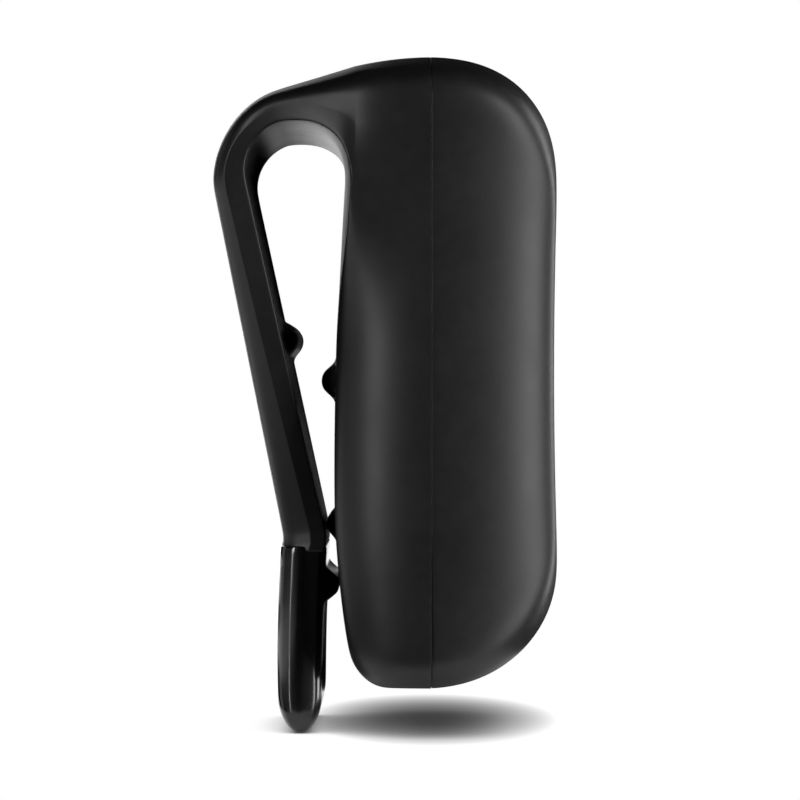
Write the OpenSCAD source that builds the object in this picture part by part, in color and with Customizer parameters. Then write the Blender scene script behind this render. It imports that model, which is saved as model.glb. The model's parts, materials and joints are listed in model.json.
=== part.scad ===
// A small clip-on satellite navigation receiver, built as an assembly of separate pieces.
// The screen faces -Y, the belt clip stands behind on +Y, +Z is up, and sizes are in mm.

/* [Body] */
// Width of the housing across its widest section, at the seam
body_width = 42; // [40:0.5:47]
// Height of the housing from its flat base to its crown
body_height = 64.8; // [63.5:0.1:73]
// Depth of the front shell, from the seam to the rim of the front face
front_depth = 12.8; // [12.5:0.1:15]
// Depth of the rear cover, from the seam to the fullest part of its back
rear_depth = 9.8; // [9.5:0.1:12]
// Thickness of the moulded walls
wall = 1.8; // [1.6:0.1:2.2]
// Radius of the long edges between the roof, the sides and the base
edge_radius = 3.2; // [2.6:0.1:4]
// How far the roof falls from its middle to its sides
top_crown = 2.4; // [1.6:0.1:3]

/* [Front face] */
// Width of the flat front face
face_width = 32; // [31:0.5:35]
// Height of the lower edge of the front face above the base
face_bottom = 11.7; // [10.7:0.1:12.7]
// Drop from the crown of the housing to the upper edge of the front face
face_drop = 12.7; // [11.5:0.1:13]
// How far the middle of the front face is dished in
dish = 0.4; // [0.1:0.1:0.8]
// Depth of the sunk panel that holds the window and the keys
panel_depth = 0.6; // [0.5:0.1:0.9]
// Width of the rim left around the sunk panel
panel_margin = 1.2; // [1:0.1:1.8]
// Thickness of the front wall, from its rim to its inner face
front_wall = 2.9; // [2.8:0.1:3.2]

/* [Display] */
// Width of the display window
window_width = 26; // [22:0.5:27]
// Height of the display window
window_height = 18; // [15:0.5:20]
// Thickness of the display window
window_thickness = 1; // [0.8:0.1:1.1]
// Width of the ledge that the window is bonded to
window_ledge = 1.6; // [1.2:0.1:2]

/* [Keys] */
// Diameter of the two round keys
round_key = 6.4; // [5.5:0.1:6.8]
// Diameter of the split disc made by the up and down keys
split_key = 10.2; // [9.4:0.1:10.4]
// Distance from the middle to each round key
key_pitch = 9.9; // [9.7:0.1:10.2]
// How far a key can be pressed
key_travel = 0.5; // [0.3:0.05:0.5]
// How far a key stands above the sunk panel
key_proud = 0.35; // [0.1:0.05:0.45]

/* [Belt clip] */
// Radius of the round top of the belt slot
slot_radius = 4.8; // [4.2:0.1:5.4]
// Thickness of the clip arm
clip_thickness = 4.1; // [3.9:0.1:4.6]
// Width of the clip at its arch
clip_width = 33; // [31:0.5:34]
// Width of the clip at its tip
tip_width = 25; // [22:0.5:28]
// How far the outer face of the clip falls from its middle to its sides
clip_crown = 0.7; // [0.4:0.1:1]
// Fall of the arch as it leaves the roof, in degrees
clip_slope = 17; // [15:0.5:19]
// Lean of the clip arm towards the housing, in degrees
arm_lean = 11.1; // [10.9:0.1:11.4]
// How much the inner side of the clip is thinned at the top of its arm
arm_waist = 0.4; // [0.2:0.1:0.6]
// How much the outer side of the clip is thinned at the shoulder of its arch
shoulder_trim = 0.35; // [0:0.05:0.5]
// Length of the separate tip piece
tip_length = 19.1; // [18:0.1:20.5]
// How far the tip hangs below the base
tip_drop = 4.9; // [3:0.1:6]
// Thickness of the tip piece
tip_thickness = 4.8; // [4.6:0.1:5]
// How far the foot of the tip stands out behind its top
tip_flare = 0.4; // [0:0.1:0.6]

/* [Inside] */
// Thickness of the circuit board
board_thickness = 1.2; // [0.8:0.1:1.4]
// Gap between the front wall and the circuit board
board_standoff = 4.4; // [4.3:0.1:4.6]
// Side of the square ceramic antenna
antenna_size = 16; // [12:0.5:18]
// Height of the ceramic antenna above the board
antenna_height = 4; // [3:0.1:4.2]
// Thickness of the battery cell
battery_thickness = 5.4; // [4.5:0.1:5.6]
// Height of the battery cell
battery_height = 33; // [28:0.5:34]
// Width of the battery cell
battery_width = 29; // [24:0.5:31]

/* [Charging port] */
// Height of the middle of the charging port above the base
port_z = 20.5; // [19:0.1:23]
// Length of the port cover from its hinge to its free end
cover_length = 10.6; // [10:0.1:12]
// Width of the port cover
cover_width = 5; // [4.6:0.1:5.2]

/* [Clearances] */
// Running clearance around a key in its hole
key_gap = 0.15; // [0.1:0.05:0.2]
// Clearance around seated and bonded pieces
seat_gap = 0.1; // [0.05:0.05:0.15]
// Clearance between the closed clip and the ribs of the housing
clip_gap = 0.15; // [0.1:0.05:0.25]

/* [Hidden] */
$fn = 48;
round_steps = 6;
flat_steps = 5;
half_body = body_width / 2;
half_face = face_width / 2;
half_rear = half_body - 5.5;
face_top = body_height - face_drop;
face_mid = (face_top + face_bottom) / 2;
face_radius = 5;
plan_power = 2.2;
roof_power = 2.3;
foot_radius = 3.6;
foot_start = 0.6;
bulge_z = body_height * 0.32;
rear_lean = 1.05;
foot_lean = 1.45;
seal_depth = 0.8;

// Planes of the front face, the board and the battery, front to back
panel_y = -(front_depth - dish - panel_depth);
inner_y = -(front_depth - front_wall);
board_y = inner_y + board_standoff;
board_back = board_y + board_thickness;
battery_y = board_back + antenna_height + 0.3;
battery_back = battery_y + battery_thickness;

// The panel, the window and the keys on the front face
window_gap = 1.2;
window_round = 2.4;
panel_low = face_bottom + panel_margin;
panel_high = face_top - panel_margin;
window_z = panel_high - window_gap - window_height / 2;
key_z = (panel_low + window_z - window_height / 2) / 2;
split_radius = split_key / 2;
split_bar = 0.5;
split_stem = split_radius * 0.52;
key_flange = 0.7;
flange_t = 0.8;
flange_split = 0.2;
flange_near = 3.9;
stem_r = 1.3;
switch_size = 4;
switch_t = 1.4;
plunger_r = 1;
plunger_rise = 0.5;
plunger_end = 0.1;
glue_t = 0.2;

// The display behind the window
lcd_inset = 2.6;
lcd_front = 0.1;
lcd_t = 1.6;
lcd_play = 0.2;
backlight_t = 1.3;
backlight_short = 2.4;
lcd_back = lcd_front + lcd_t;
backlight_back = lcd_back + backlight_t;
tail_inset = 2.4;
tail_short = 6;
tail_t = 1.4;

// The board and what it carries
board_margin = 4.2;
board_round = 3;
board_w = body_width - 2 * board_margin;
board_low = 6.5;
board_high = body_height - 6;
lug_top = 8.6;
post_inset = 2.5;
post_r = 1.9;
post_x = board_w / 2 - post_inset;
post_low = lug_top + post_r;
post_high = board_high - post_inset;
screw_r = 0.75;
board_head_r = 1.4;
board_head_h = 0.8;
screw_bite = 2.9;
antenna_inset = 2;
antenna_z = board_high - antenna_inset - antenna_size / 2;
plate_t = 0.2;
plate_margin = 1.5;
battery_low = 11;
battery_round = 1.5;
battery_z = battery_low + battery_height / 2;
pad_gap = 0.3;
shield_w = 18;
shield_h = 13;
shield_t = 2.2;
shield_sheet = 0.2;
part_gap = 0.7;
shield_z = antenna_z - (antenna_size + shield_h) / 2 - part_gap - 1.3;
chip_size = 8;
chip_t = 1;
chip_row = (lug_top + shield_z - shield_h / 2) / 2;
plug_w = 5;
plug_h = 4.6;
plug_t = 2.4;
plug_x = -(shield_w + plug_w) / 2 - part_gap;

// The screws in the base
lug_x = 10;
lug_y = 2.8;
lug_z = 3.1;
lug_w = 6;
lug_foot = 1.4;
lug_front = board_back + seat_gap;
lug_back = lug_y + 3;
boss_r = lug_y - seal_depth - seat_gap;
insert_r = 1.3;
insert_h = 3.6;
head_r = 1.55;
head_h = 1.1;
head_sunk = 0.15;
head_gap = 0.2;

// The belt clip: the bend centre, the arm, the kink and the tip
rear_top = rear_depth - rear_lean;
bend_r = slot_radius + clip_thickness / 2;
bend_out = slot_radius + clip_thickness;
clip_round = clip_thickness * 0.4;
bend_y = rear_top + slot_radius;
roof_drop = tan(clip_slope) * (rear_top - 1.5) / 2;
bend_z = body_height - roof_drop - bend_out * cos(clip_slope)
    - (bend_out * sin(clip_slope) + bend_y - rear_top + 1) * tan(clip_slope) - 0.12;
root_angle = 90 - clip_slope;
flex = polar([bend_y, bend_z], bend_r, root_angle);
flex_gap = 0.1;
flex_relief = 9;
bead_r = 0.9;
root_length = (flex[0] - rear_top + 1.1) / cos(clip_slope);
arm_top = polar([bend_y, bend_z], bend_r, -arm_lean);
kink_r = 8;
kink_z = tip_length - tip_drop + 1.6;
arm_length = (arm_top[1] - kink_z) / cos(arm_lean);
arm_end = polar(arm_top, arm_length, -90 - arm_lean);
kink_mid = polar(arm_end, kink_r, -arm_lean);
tip_y = kink_mid[0] - kink_r + 0.15;
tip_top = tip_length - tip_drop;
tip_round = 2.6;
tongue_w = tip_width - 9;
tongue_t = 2;
tongue_l = 12;

// Ribs that grip the belt
body_rib_z = bend_z - 21.4;
arm_rib_z = bend_z - 17.5;
grip_r = 1.7;
stop_z = tip_top + 2.1;
stop_r = 1.5;
tooth_z = tip_top - 4;

// The charging port in the right wall
socket_d = 2.6;
socket_h = 7.6;
socket_l = 5;
socket_wall = 0.3;
port_y = board_back + socket_d / 2;
port_d = 2.4;
port_h = 7.2;
plug_reach = 0.9;
plug_play = 0.35;
block_depth = 4.2;
block_w = 3;
block_front = 3.5;
block_back = 2.7;
block_drop = 6.4;
block_rise = 7;
port_x = half_body - 0.12;
cover_t = 1.9;
hinge_r = cover_t / 2;
hinge_x = port_x - hinge_r + seat_gap;
hinge_z = port_z + cover_length / 2 - hinge_r;

// Point at a distance and angle from another point in the side view
function polar(p, r, a) = [p[0] + r * cos(a), p[1] + r * sin(a)];

// Fall of a quarter of a super-ellipse, from 1 at the start to 0 at the end
function falling(s, p) = pow(max(0, 1 - pow(s, p)), 1 / p);

// Arc of one rounded corner, followed by the points of the straight side after it
function corner(c, r, a, next) = let (
        arc = [for (i = [0:round_steps]) polar(c, r, a + 90 * i / round_steps)],
        last = arc[round_steps])
    concat(arc, [for (i = [1:flat_steps - 1]) last + (next - last) * i / flat_steps]);

// Rounded rectangle whose upper side falls away from the middle
function outline(half, low, high, r, crown) = let (
        mid = (low + high) / 2,
        box = concat(
            corner([half - r, low + r], r, -90, [half, high - r]),
            corner([half - r, high - r], r, 0, [-half + r, high]),
            corner([-half + r, high - r], r, 90, [-half, low + r]),
            corner([-half + r, low + r], r, 180, [half - r, low])))
    [for (p = box) [p[0], p[1] - crown * pow(p[0] / half, 2)
        * pow(max(0, (p[1] - mid) / (high - mid)), 2)]];

// Depth of the back of the housing at a height
function rear_at(z) = rear_depth - (z > bulge_z
    ? rear_lean * pow((z - bulge_z) / (bend_z - bulge_z), 2)
    : foot_lean * pow((bulge_z - z) / (bulge_z - foot_radius), 2));

// Depth lost to the dish of the front face at a height
function dish_at(z) = dish * max(0, 1 - pow((z - face_mid) / (face_top - face_mid), 2));

// Section of the front shell, from the seam at 0 to the face at 1
function front_section(s, inset) = outline(
    half_face + (half_body - half_face) * falling(s, plan_power) - inset,
    face_bottom * (1 - falling(s, 2)) + inset,
    face_top + (body_height - face_top) * falling(s, roof_power) - inset,
    max(0.8, edge_radius + (face_radius - edge_radius) * s * s - inset),
    top_crown);

// Section of the rear cover, from the seam at 0 to the back at 1
function rear_section(s, inset) = outline(
    half_rear + (half_body - half_rear) * falling(s, plan_power) - inset,
    foot_radius * (1 - falling(max(0, (s - foot_start) / (1 - foot_start)), 2)) + inset,
    body_height - roof_drop * s * s - inset,
    max(0.8, edge_radius - inset),
    top_crown + (clip_crown - 0.1 - top_crown) * s * s);

// Section shrunk about a height, for the middle of a face
function shrunk(section, k, z) = [for (p = section) [p[0] * k, z + (p[1] - z) * k]];

function front_outer(s) = [for (p = front_section(s, 0))
    [p[0], -(front_depth - dish_at(p[1])) * s, p[1]]];
function front_inner(s) = [for (p = front_section(s, wall)) [p[0], inner_y * s, p[1]]];
function front_face(k) = [for (p = shrunk(front_section(1, 0), k, face_mid))
    [p[0], -(front_depth - dish_at(p[1])), p[1]]];
function rear_outer(s) = [for (p = rear_section(s, 0)) [p[0], rear_at(p[1]) * s, p[1]]];
function rear_inner(s) = [for (p = rear_section(s, wall))
    [p[0], (rear_at(p[1]) - wall) * s, p[1]]];
function rear_face(k) = [for (p = shrunk(rear_section(1, 0), k, body_height / 2))
    [p[0], rear_at(p[1]), p[1]]];
function seam_ring(inset, y) = [for (p = front_section(0, inset)) [p[0], y, p[1]]];

// Section of the clip at a point of its path, across the outward angle
function clip_ring(p, angle, section) = [for (q = section)
    [q[0], p[0] + q[1] * cos(angle), p[1] + q[1] * sin(angle)]];

function waist(k) = arm_waist * (1 - 1.6 * k);

function arm_half(k) = (clip_width + (tip_width - clip_width) * k) / 2;

// Section of the clip arm, thinned on its inner side and trimmed on its outer side
function arm_section(k, thin, trim) = outline(arm_half(k),
    thin - clip_thickness / 2, clip_thickness / 2 - trim, clip_round, clip_crown);

function arm_ring(p, angle, k, thin, trim = 0) = clip_ring(p, angle, arm_section(k, thin, trim));

function tip_ring(z, side, thick) = clip_ring(
    [tip_y + tip_flare * (tip_top - z) / tip_length, z], 0,
    outline(tip_width / 2 - side, (thick - tip_thickness) / 2, (tip_thickness - thick) / 2,
        min(clip_round, (tip_thickness - thick) * 0.4), clip_crown * (1 - thick / 5)));

function reversed(list) = [for (i = [len(list) - 1:-1:0]) list[i]];

// Closed skin over rings of equal length, each end drawn to its own point
module skin(rings, first, last) {
    n = len(rings[0]);
    m = len(rings);
    points = concat([first], [for (r = rings) each r], [last]);
    sides = [for (j = [0:m - 2], i = [0:n - 1])
        let (a = 1 + j * n + i, b = 1 + j * n + (i + 1) % n) each [[a, b + n, b], [a, a + n, b + n]]];
    polyhedron(points, concat(
        [for (i = [0:n - 1]) [0, 1 + i, 1 + (i + 1) % n]],
        sides,
        [for (i = [0:n - 1]) [m * n + 1, (m - 1) * n + 1 + (i + 1) % n, (m - 1) * n + 1 + i]]));
}

// Closed band over rings of equal length, the last joined to the first
module band(rings) {
    n = len(rings[0]);
    m = len(rings);
    polyhedron([for (r = rings) each r], [for (j = [0:m - 1], i = [0:n - 1])
        let (a = j * n + i, b = j * n + (i + 1) % n, k = ((j + 1) % m - j) * n)
        each [[a, b + k, b], [a, a + k, b + k]]]);
}

// Flat shape in X and Z, standing forward from a plane towards the front
module forward(y, depth)
    translate([0, y, 0]) rotate([90, 0, 0]) linear_extrude(depth) children();

// Side view shape in Y and Z, drawn out to a width along X about the middle
module across(width)
    rotate([90, 0, 90]) linear_extrude(width, center = true) children();

// Round bar along X at a point of the side view
module crossbar(p, r, width)
    translate([0, p[0], p[1]]) rotate([0, 90, 0]) cylinder(r = r, h = width, center = true);

module rounded(w, h, r) {
    square([w - 2 * r, h], center = true);
    square([w, h - 2 * r], center = true);
    for (x = [-1, 1], z = [-1, 1])
        translate([x * (w / 2 - r), z * (h / 2 - r)]) circle(r);
}

module at_posts()
    for (x = [-post_x, post_x], z = [post_low, post_high]) translate([x, z]) children();

module at_lugs()
    for (x = [-lug_x, lug_x]) translate([x, lug_y, 0]) children();

// The origin sits at the centre of the round top of the belt slot
module in_frame()
    translate([0, -bend_y, -bend_z]) children();

module front_blank() {
    rings = [for (a = [0:10:80]) front_outer(sin(a))];
    skin(concat([seam_ring(0, 0)], [for (i = [1:8]) rings[i]],
        [front_outer(1), front_face(0.55)]),
        [0, 0, face_mid], [0, -(front_depth - dish), face_mid]);
}

module key_outline(kind, grow) {
    if (kind == 0) circle(round_key / 2 + grow);
    if (kind != 0) intersection() {
        circle(split_radius + grow);
        translate([-split_key, kind > 0 ? split_bar - grow : grow - split_bar - split_key])
            square([2 * split_key, split_key]);
    }
}

// The keys: place across the front, kind of outline
KEYS = [[-key_pitch, 0], [0, 1], [0, -1], [key_pitch, 0]];

module at_key(k)
    translate([KEYS[k][0], key_z]) children();

function stem_z(k) = key_z + KEYS[k][1] * split_stem;

module cover_shape(grow) {
    intersection() {
        translate([hinge_x - cover_t / 2 - grow, port_y - cover_width / 2 - grow,
            hinge_z + hinge_r - cover_length - grow])
            cube([8, cover_width + 2 * grow, cover_length + 2 * grow]);
        union() {
            translate([hinge_x, port_y, hinge_z]) rotate([90, 0, 0])
                cylinder(r = hinge_r + grow, h = 20, center = true);
            translate([hinge_x - cover_t / 2 - grow, -20, hinge_z - 20]) cube([8, 40, 20]);
            translate([hinge_x, -20, hinge_z]) cube([8, 40, grow > 0 ? hinge_r + grow : 0.01]);
        }
    }
}

module front_shell() {
    color([0.07, 0.07, 0.075])
    in_frame() difference() {
        union() {
            difference() {
                skin(concat(
                    [for (a = [90:-15:15]) front_inner(sin(a))],
                    [seam_ring(wall, 0), seam_ring(0, 0)],
                    [for (a = [10:10:80]) front_outer(sin(a))],
                    [front_outer(1), front_face(0.55)]),
                    [0, inner_y, face_mid], [0, -(front_depth - dish), face_mid]);
                forward(panel_y, 5) translate([0, face_mid])
                    rounded(face_width - 2 * panel_margin, panel_high - panel_low,
                        face_radius - panel_margin);
            }
            forward(board_y, board_standoff - 0.4) at_posts() circle(post_r);
            for (x = [-lug_x, lug_x]) {
                translate([x - lug_w / 2, lug_front, lug_foot])
                    cube([lug_w, -seat_gap - lug_front, lug_top - lug_foot]);
                translate([x - lug_w / 2, -1, lug_z]) cube([lug_w, lug_back + 1, lug_top - lug_z]);
            }
            translate([half_body - block_depth, port_y - block_front, port_z - block_drop])
                cube([block_w, block_front + block_back, block_drop + block_rise]);
        }
        forward(panel_y + window_thickness + glue_t + seat_gap, 5) translate([0, window_z])
            rounded(window_width + 2 * seat_gap, window_height + 2 * seat_gap,
                window_round + seat_gap);
        forward(inner_y + 1, 9) translate([0, window_z])
            rounded(window_width - 2 * window_ledge, window_height - 2 * window_ledge, 1.5);
        for (k = [0:3]) forward(inner_y + 1, 9) at_key(k) key_outline(KEYS[k][1], key_gap);
        forward(board_y + 1, 4.2) at_posts() circle(screw_r + seat_gap / 2);
        at_lugs() translate([0, 0, lug_z - 1]) cylinder(r = insert_r, h = insert_h + 1.6);
        cover_shape(seat_gap);
        translate([hinge_x - 5, port_y - port_d / 2, port_z - port_h / 2]) cube([6, port_d, port_h]);
    }
}

module rear_cover() {
    color([0.065, 0.065, 0.07])
    in_frame() difference() {
        union() {
            skin(concat(
                [rear_face(0.5), rear_outer(1)],
                [for (a = [80:-10:10]) rear_outer(sin(a))],
                [seam_ring(0, 0), seam_ring(wall / 2, 0),
                    seam_ring(wall / 2, seal_depth), seam_ring(wall, seal_depth)],
                [for (a = [15:15:90]) rear_inner(sin(a))]),
                [0, rear_at(body_height / 2), body_height / 2],
                [0, rear_at(body_height / 2) - wall, body_height / 2]);
            translate([0, flex[0], flex[1]]) rotate([root_angle, 0, 0])
                translate([0, 0, flex_gap]) linear_extrude(root_length - flex_gap)
                polygon(arm_section(0, 0, 0));
            across(clip_width - 2 * clip_round) slot_fillet();
            crossbar([rear_at(body_rib_z) - 0.2, body_rib_z], grip_r, tip_width - 6);
            crossbar([rear_at(stop_z) - 0.75, stop_z], stop_r, tip_width - 8);
            at_lugs() translate([0, 0, 1]) cylinder(r = boss_r, h = lug_z - seat_gap - 1);
        }
        crossbar(flex, bead_r + flex_gap, clip_width + 2);
        at_lugs() {
            translate([0, 0, -1]) cylinder(r = head_r + head_gap, h = head_h + head_sunk + 1);
            translate([0, 0, -1]) cylinder(r = screw_r + head_gap, h = lug_z + 2);
        }
    }
}

// Web that rounds the corner between the back of the housing and the underside of the arch
module slot_fillet() {
    inner = rear_top - 1.1;
    near = polar(flex, -flex_gap, -clip_slope);
    foot = polar([bend_y, bend_z], -flex_gap, -clip_slope);
    difference() {
        polygon([[inner, bend_z], [foot[0], bend_z], near,
            [inner, flex[1] + (flex[0] - inner) * tan(clip_slope)]]);
        translate([bend_y, bend_z]) circle(slot_radius);
    }
}

module housing_seal() {
    color([0.03, 0.03, 0.03])
    in_frame() band([
        seam_ring(wall / 2 + seat_gap / 2, 0),
        seam_ring(wall / 2 + seat_gap / 2, seal_depth),
        seam_ring(wall, seal_depth),
        seam_ring(wall, 0)]);
}

module belt_clip() {
    bends = [for (i = [0:9]) root_angle - (root_angle + arm_lean) * i / 9];
    kinks = [for (i = [0:3]) -arm_lean + arm_lean * i / 3];
    low = [tip_y, tip_top + seat_gap / 2];
    start = polar(flex, -1, -clip_slope);
    past = polar(flex, -3, -clip_slope);
    end = polar(flex, flex_gap / 2, -clip_slope);
    color([0.07, 0.07, 0.075])
    in_frame() {
        difference() {
            union() {
                skin(reversed(concat(
                    [arm_ring(start, root_angle, 0, 0)],
                    [for (i = [1:9]) arm_ring(polar([bend_y, bend_z], bend_r, bends[i]), bends[i],
                        0, arm_waist * i / 9, shoulder_trim * sin(20 * i))],
                    [for (k = [0.25, 0.5, 0.75])
                        arm_ring(polar(arm_top, arm_length * k, -90 - arm_lean), -arm_lean,
                            k, waist(k))],
                    [for (a = kinks) arm_ring(polar(kink_mid, -kink_r, a), a, 1, waist(1))],
                    [arm_ring(low, 0, 1, waist(1))])),
                    concat([0], low), concat([0], start));
                arm_rib();
            }
            across(clip_width + 2) polygon([polar(end, -6, root_angle), end,
                polar(end, 6, root_angle - flex_relief), polar(past, 6, root_angle),
                polar(past, -6, root_angle)]);
        }
        crossbar(flex, bead_r, clip_width - 5);
        translate([-tongue_w / 2, tip_y - tongue_t / 2, tip_top - tongue_l])
            cube([tongue_w, tongue_t, tongue_l + 2]);
    }
}

module arm_rib() {
    d = (arm_top[1] - arm_rib_z) / cos(arm_lean);
    p = polar(polar(arm_top, d, -90 - arm_lean), 0.15 - clip_thickness / 2, -arm_lean);
    crossbar(p, grip_r, tip_width - 6);
}

module clip_tip() {
    steps = [for (a = [0:15:75]) [tip_round * (1 - sin(a)), 1 - cos(a)]];
    reach = rear_at(tooth_z) + clip_gap;
    face = tip_y - tip_thickness / 2 + 0.5;
    color([0.03, 0.03, 0.032])
    in_frame() difference() {
        union() {
            skin(reversed(concat(
                [tip_ring(tip_top, 0.5, 0.6), tip_ring(tip_top - 0.5, 0, 0)],
                [for (s = steps) tip_ring(s[0] - tip_drop, 6 * s[1], (tip_thickness - 0.6) * s[1])])),
                [0, tip_y + tip_flare, -tip_drop], [0, tip_y, tip_top]);
            across(tip_width - 12) polygon([[face, tooth_z + 2.4], [reach, tooth_z + 0.9],
                [rear_at(tooth_z - 1.1) + clip_gap, tooth_z - 1.1], [face, tooth_z - 2.6]]);
        }
        translate([-tongue_w / 2 - seat_gap, tip_y - tongue_t / 2 - seat_gap,
            tip_top - tongue_l - seat_gap])
            cube([tongue_w + 2 * seat_gap, tongue_t + 2 * seat_gap, tongue_l + 2]);
    }
}

module display_window() {
    color([0.02, 0.02, 0.025])
    in_frame() forward(panel_y + window_thickness + seat_gap, window_thickness)
        translate([0, window_z]) rounded(window_width, window_height, window_round);
}

module window_adhesive() {
    color([0.05, 0.05, 0.05])
    in_frame() forward(panel_y + window_thickness + glue_t + seat_gap, glue_t)
        translate([0, window_z]) difference() {
            rounded(window_width, window_height, window_round);
            rounded(window_width - 1.6 * window_ledge, window_height - 1.6 * window_ledge,
                window_round * 0.65);
        }
}

module lcd_panel() {
    color([0.55, 0.6, 0.55])
    in_frame() forward(inner_y + lcd_back, lcd_t) translate([0, window_z])
        rounded(window_width - lcd_inset, window_height - lcd_inset, 0.5);
}

module backlight() {
    color([0.9, 0.92, 0.9])
    in_frame() forward(inner_y + backlight_back, backlight_t)
        translate([0, window_z + backlight_short / 2])
        rounded(window_width - lcd_inset, window_height - lcd_inset - backlight_short, 0.5);
}

module lcd_frame() {
    color([0.85, 0.85, 0.83])
    in_frame() difference() {
        forward(board_y, board_standoff - 2 * seat_gap) translate([0, window_z])
            rounded(window_width, window_height, 1);
        forward(inner_y + lcd_back, lcd_back + 1) translate([0, window_z])
            rounded(window_width - lcd_inset + lcd_play, window_height - lcd_inset + lcd_play, 0.6);
        forward(inner_y + backlight_back, backlight_back + 1)
            translate([0, window_z + backlight_short / 2])
            rounded(window_width - lcd_inset + lcd_play,
                window_height - lcd_inset - backlight_short + lcd_play, 0.6);
        forward(board_y + 1, board_standoff + 1)
            translate([0, window_z - window_height / 2 + tail_inset])
            square([window_width - tail_short + lcd_play, tail_t + lcd_play], center = true);
    }
}

module display_connector() {
    color([0.3, 0.3, 0.33])
    in_frame() forward(board_y, board_standoff - lcd_back)
        translate([0, window_z - window_height / 2 + tail_inset])
        square([window_width - tail_short, tail_t], center = true);
}

module main_board() {
    color([0.05, 0.28, 0.13])
    in_frame() forward(board_back, board_thickness) difference() {
        translate([0, (board_low + board_high) / 2]) rounded(board_w, board_high - board_low, board_round);
        at_posts() circle(screw_r + seat_gap * 1.5);
    }
}

module board_screws() {
    color([0.7, 0.7, 0.72])
    in_frame() {
        forward(board_back + board_head_h, board_head_h) at_posts() circle(board_head_r);
        forward(board_back + board_head_h / 2, board_thickness + screw_bite) at_posts() circle(screw_r);
    }
}

module gps_antenna() {
    color([0.85, 0.82, 0.74])
    in_frame() forward(board_back + antenna_height - plate_t, antenna_height - plate_t)
        translate([0, antenna_z]) rounded(antenna_size, antenna_size, 0.6);
}

module antenna_plate() {
    color([0.75, 0.75, 0.72])
    in_frame() forward(board_back + antenna_height, plate_t)
        translate([0, antenna_z]) square(antenna_size - 2 * plate_margin, center = true);
}

module receiver_shield() {
    color([0.72, 0.73, 0.75])
    in_frame() difference() {
        forward(board_back + shield_t, shield_t) translate([0, shield_z])
            rounded(shield_w, shield_h, 0.6);
        forward(board_back + shield_t - shield_sheet, shield_t + 1) translate([0, shield_z])
            square([shield_w - 2 * shield_sheet, shield_h - 2 * shield_sheet], center = true);
    }
}

module receiver_chip() {
    color([0.06, 0.06, 0.06])
    in_frame() forward(board_back + chip_t, chip_t) translate([0, shield_z])
        square(chip_size, center = true);
}

module board_chips() {
    color([0.06, 0.06, 0.06])
    in_frame() forward(board_back + chip_t, chip_t) translate([0, chip_row]) {
        translate([-chip_size, 0]) square(chip_size, center = true);
        translate([part_gap, 0]) square([chip_size * 0.9, chip_size * 0.7], center = true);
        translate([chip_size, 0]) square(chip_size / 2, center = true);
    }
}

module switch_bodies() {
    color([0.2, 0.2, 0.2])
    in_frame() forward(board_y, switch_t) for (k = [0:3]) translate([KEYS[k][0], stem_z(k)])
        difference() {
            square(switch_size, center = true);
            circle(plunger_r + seat_gap / 2);
        }
}

module key(k) {
    cap_y = panel_y - key_proud;
    flange_y = inner_y + seat_gap + flange_t;
    color([0.12, 0.12, 0.125])
    in_frame() {
        forward(flange_y, flange_y - cap_y) at_key(k) key_outline(KEYS[k][1], 0);
        forward(flange_y, flange_t) at_key(k) intersection() {
            key_outline(KEYS[k][1], key_flange);
            if (KEYS[k][1] != 0)
                translate([-split_key, KEYS[k][1] > 0 ? flange_split : -flange_split - split_key])
                    square([2 * split_key, split_key]);
            if (KEYS[k][1] == 0)
                translate([KEYS[k][0] > 0 ? -flange_near : flange_near - 2 * round_key, -round_key])
                    square(2 * round_key);
        }
        forward(board_y - switch_t - plunger_rise, board_y - switch_t - plunger_rise - flange_y)
            translate([KEYS[k][0], stem_z(k)]) circle(stem_r);
    }
}

module plunger(k) {
    top = board_y - switch_t - plunger_rise;
    low = board_y - key_travel - plunger_end;
    color([0.6, 0.12, 0.1])
    in_frame() forward(low, low - top) translate([KEYS[k][0], stem_z(k)]) circle(plunger_r);
}

module power_key() key(0);
module up_key() key(1);
module down_key() key(2);
module mark_key() key(3);
module power_plunger() plunger(0);
module up_plunger() plunger(1);
module down_plunger() plunger(2);
module mark_plunger() plunger(3);

module battery_cell() {
    color([0.75, 0.76, 0.78])
    in_frame() forward(battery_back, battery_thickness)
        translate([0, battery_z]) rounded(battery_width, battery_height, battery_round);
}

module battery_pad() {
    back = min(rear_at(battery_z - battery_height / 2), rear_at(battery_z + battery_height / 2));
    color([0.15, 0.15, 0.16])
    in_frame() forward(back - wall - pad_gap, back - wall - pad_gap - battery_back)
        translate([0, battery_z]) rounded(battery_width - 6, battery_height - 4, battery_round);
}

module battery_plug() {
    color([0.9, 0.88, 0.8])
    in_frame() forward(board_back + plug_t, plug_t)
        translate([plug_x, shield_z]) square([plug_w, plug_h], center = true);
}

module usb_socket() {
    color([0.72, 0.73, 0.75])
    in_frame() translate([half_body - block_depth - seat_gap - socket_l, port_y, port_z]) {
        difference() {
            translate([0, -socket_d / 2, -socket_h / 2]) cube([socket_l, socket_d, socket_h]);
            translate([socket_wall, socket_wall - socket_d / 2, socket_wall - socket_h / 2])
                cube([socket_l, socket_d - 2 * socket_wall, socket_h - 2 * socket_wall]);
        }
        translate([socket_wall / 2, -0.3, -socket_h / 3]) cube([socket_l - 1, 0.7, socket_h / 1.5]);
    }
}

module port_cover() {
    color([0.05, 0.05, 0.05])
    in_frame() {
        intersection() {
            cover_shape(0);
            front_blank();
        }
        translate([hinge_x - cover_t / 2 - plug_reach, port_y - port_d / 2 + plug_play,
            port_z - port_h / 2 + plug_play + 0.1])
            cube([plug_reach + 0.5, port_d - 2 * plug_play, port_h - 2 * plug_play - 0.2]);
    }
}

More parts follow.
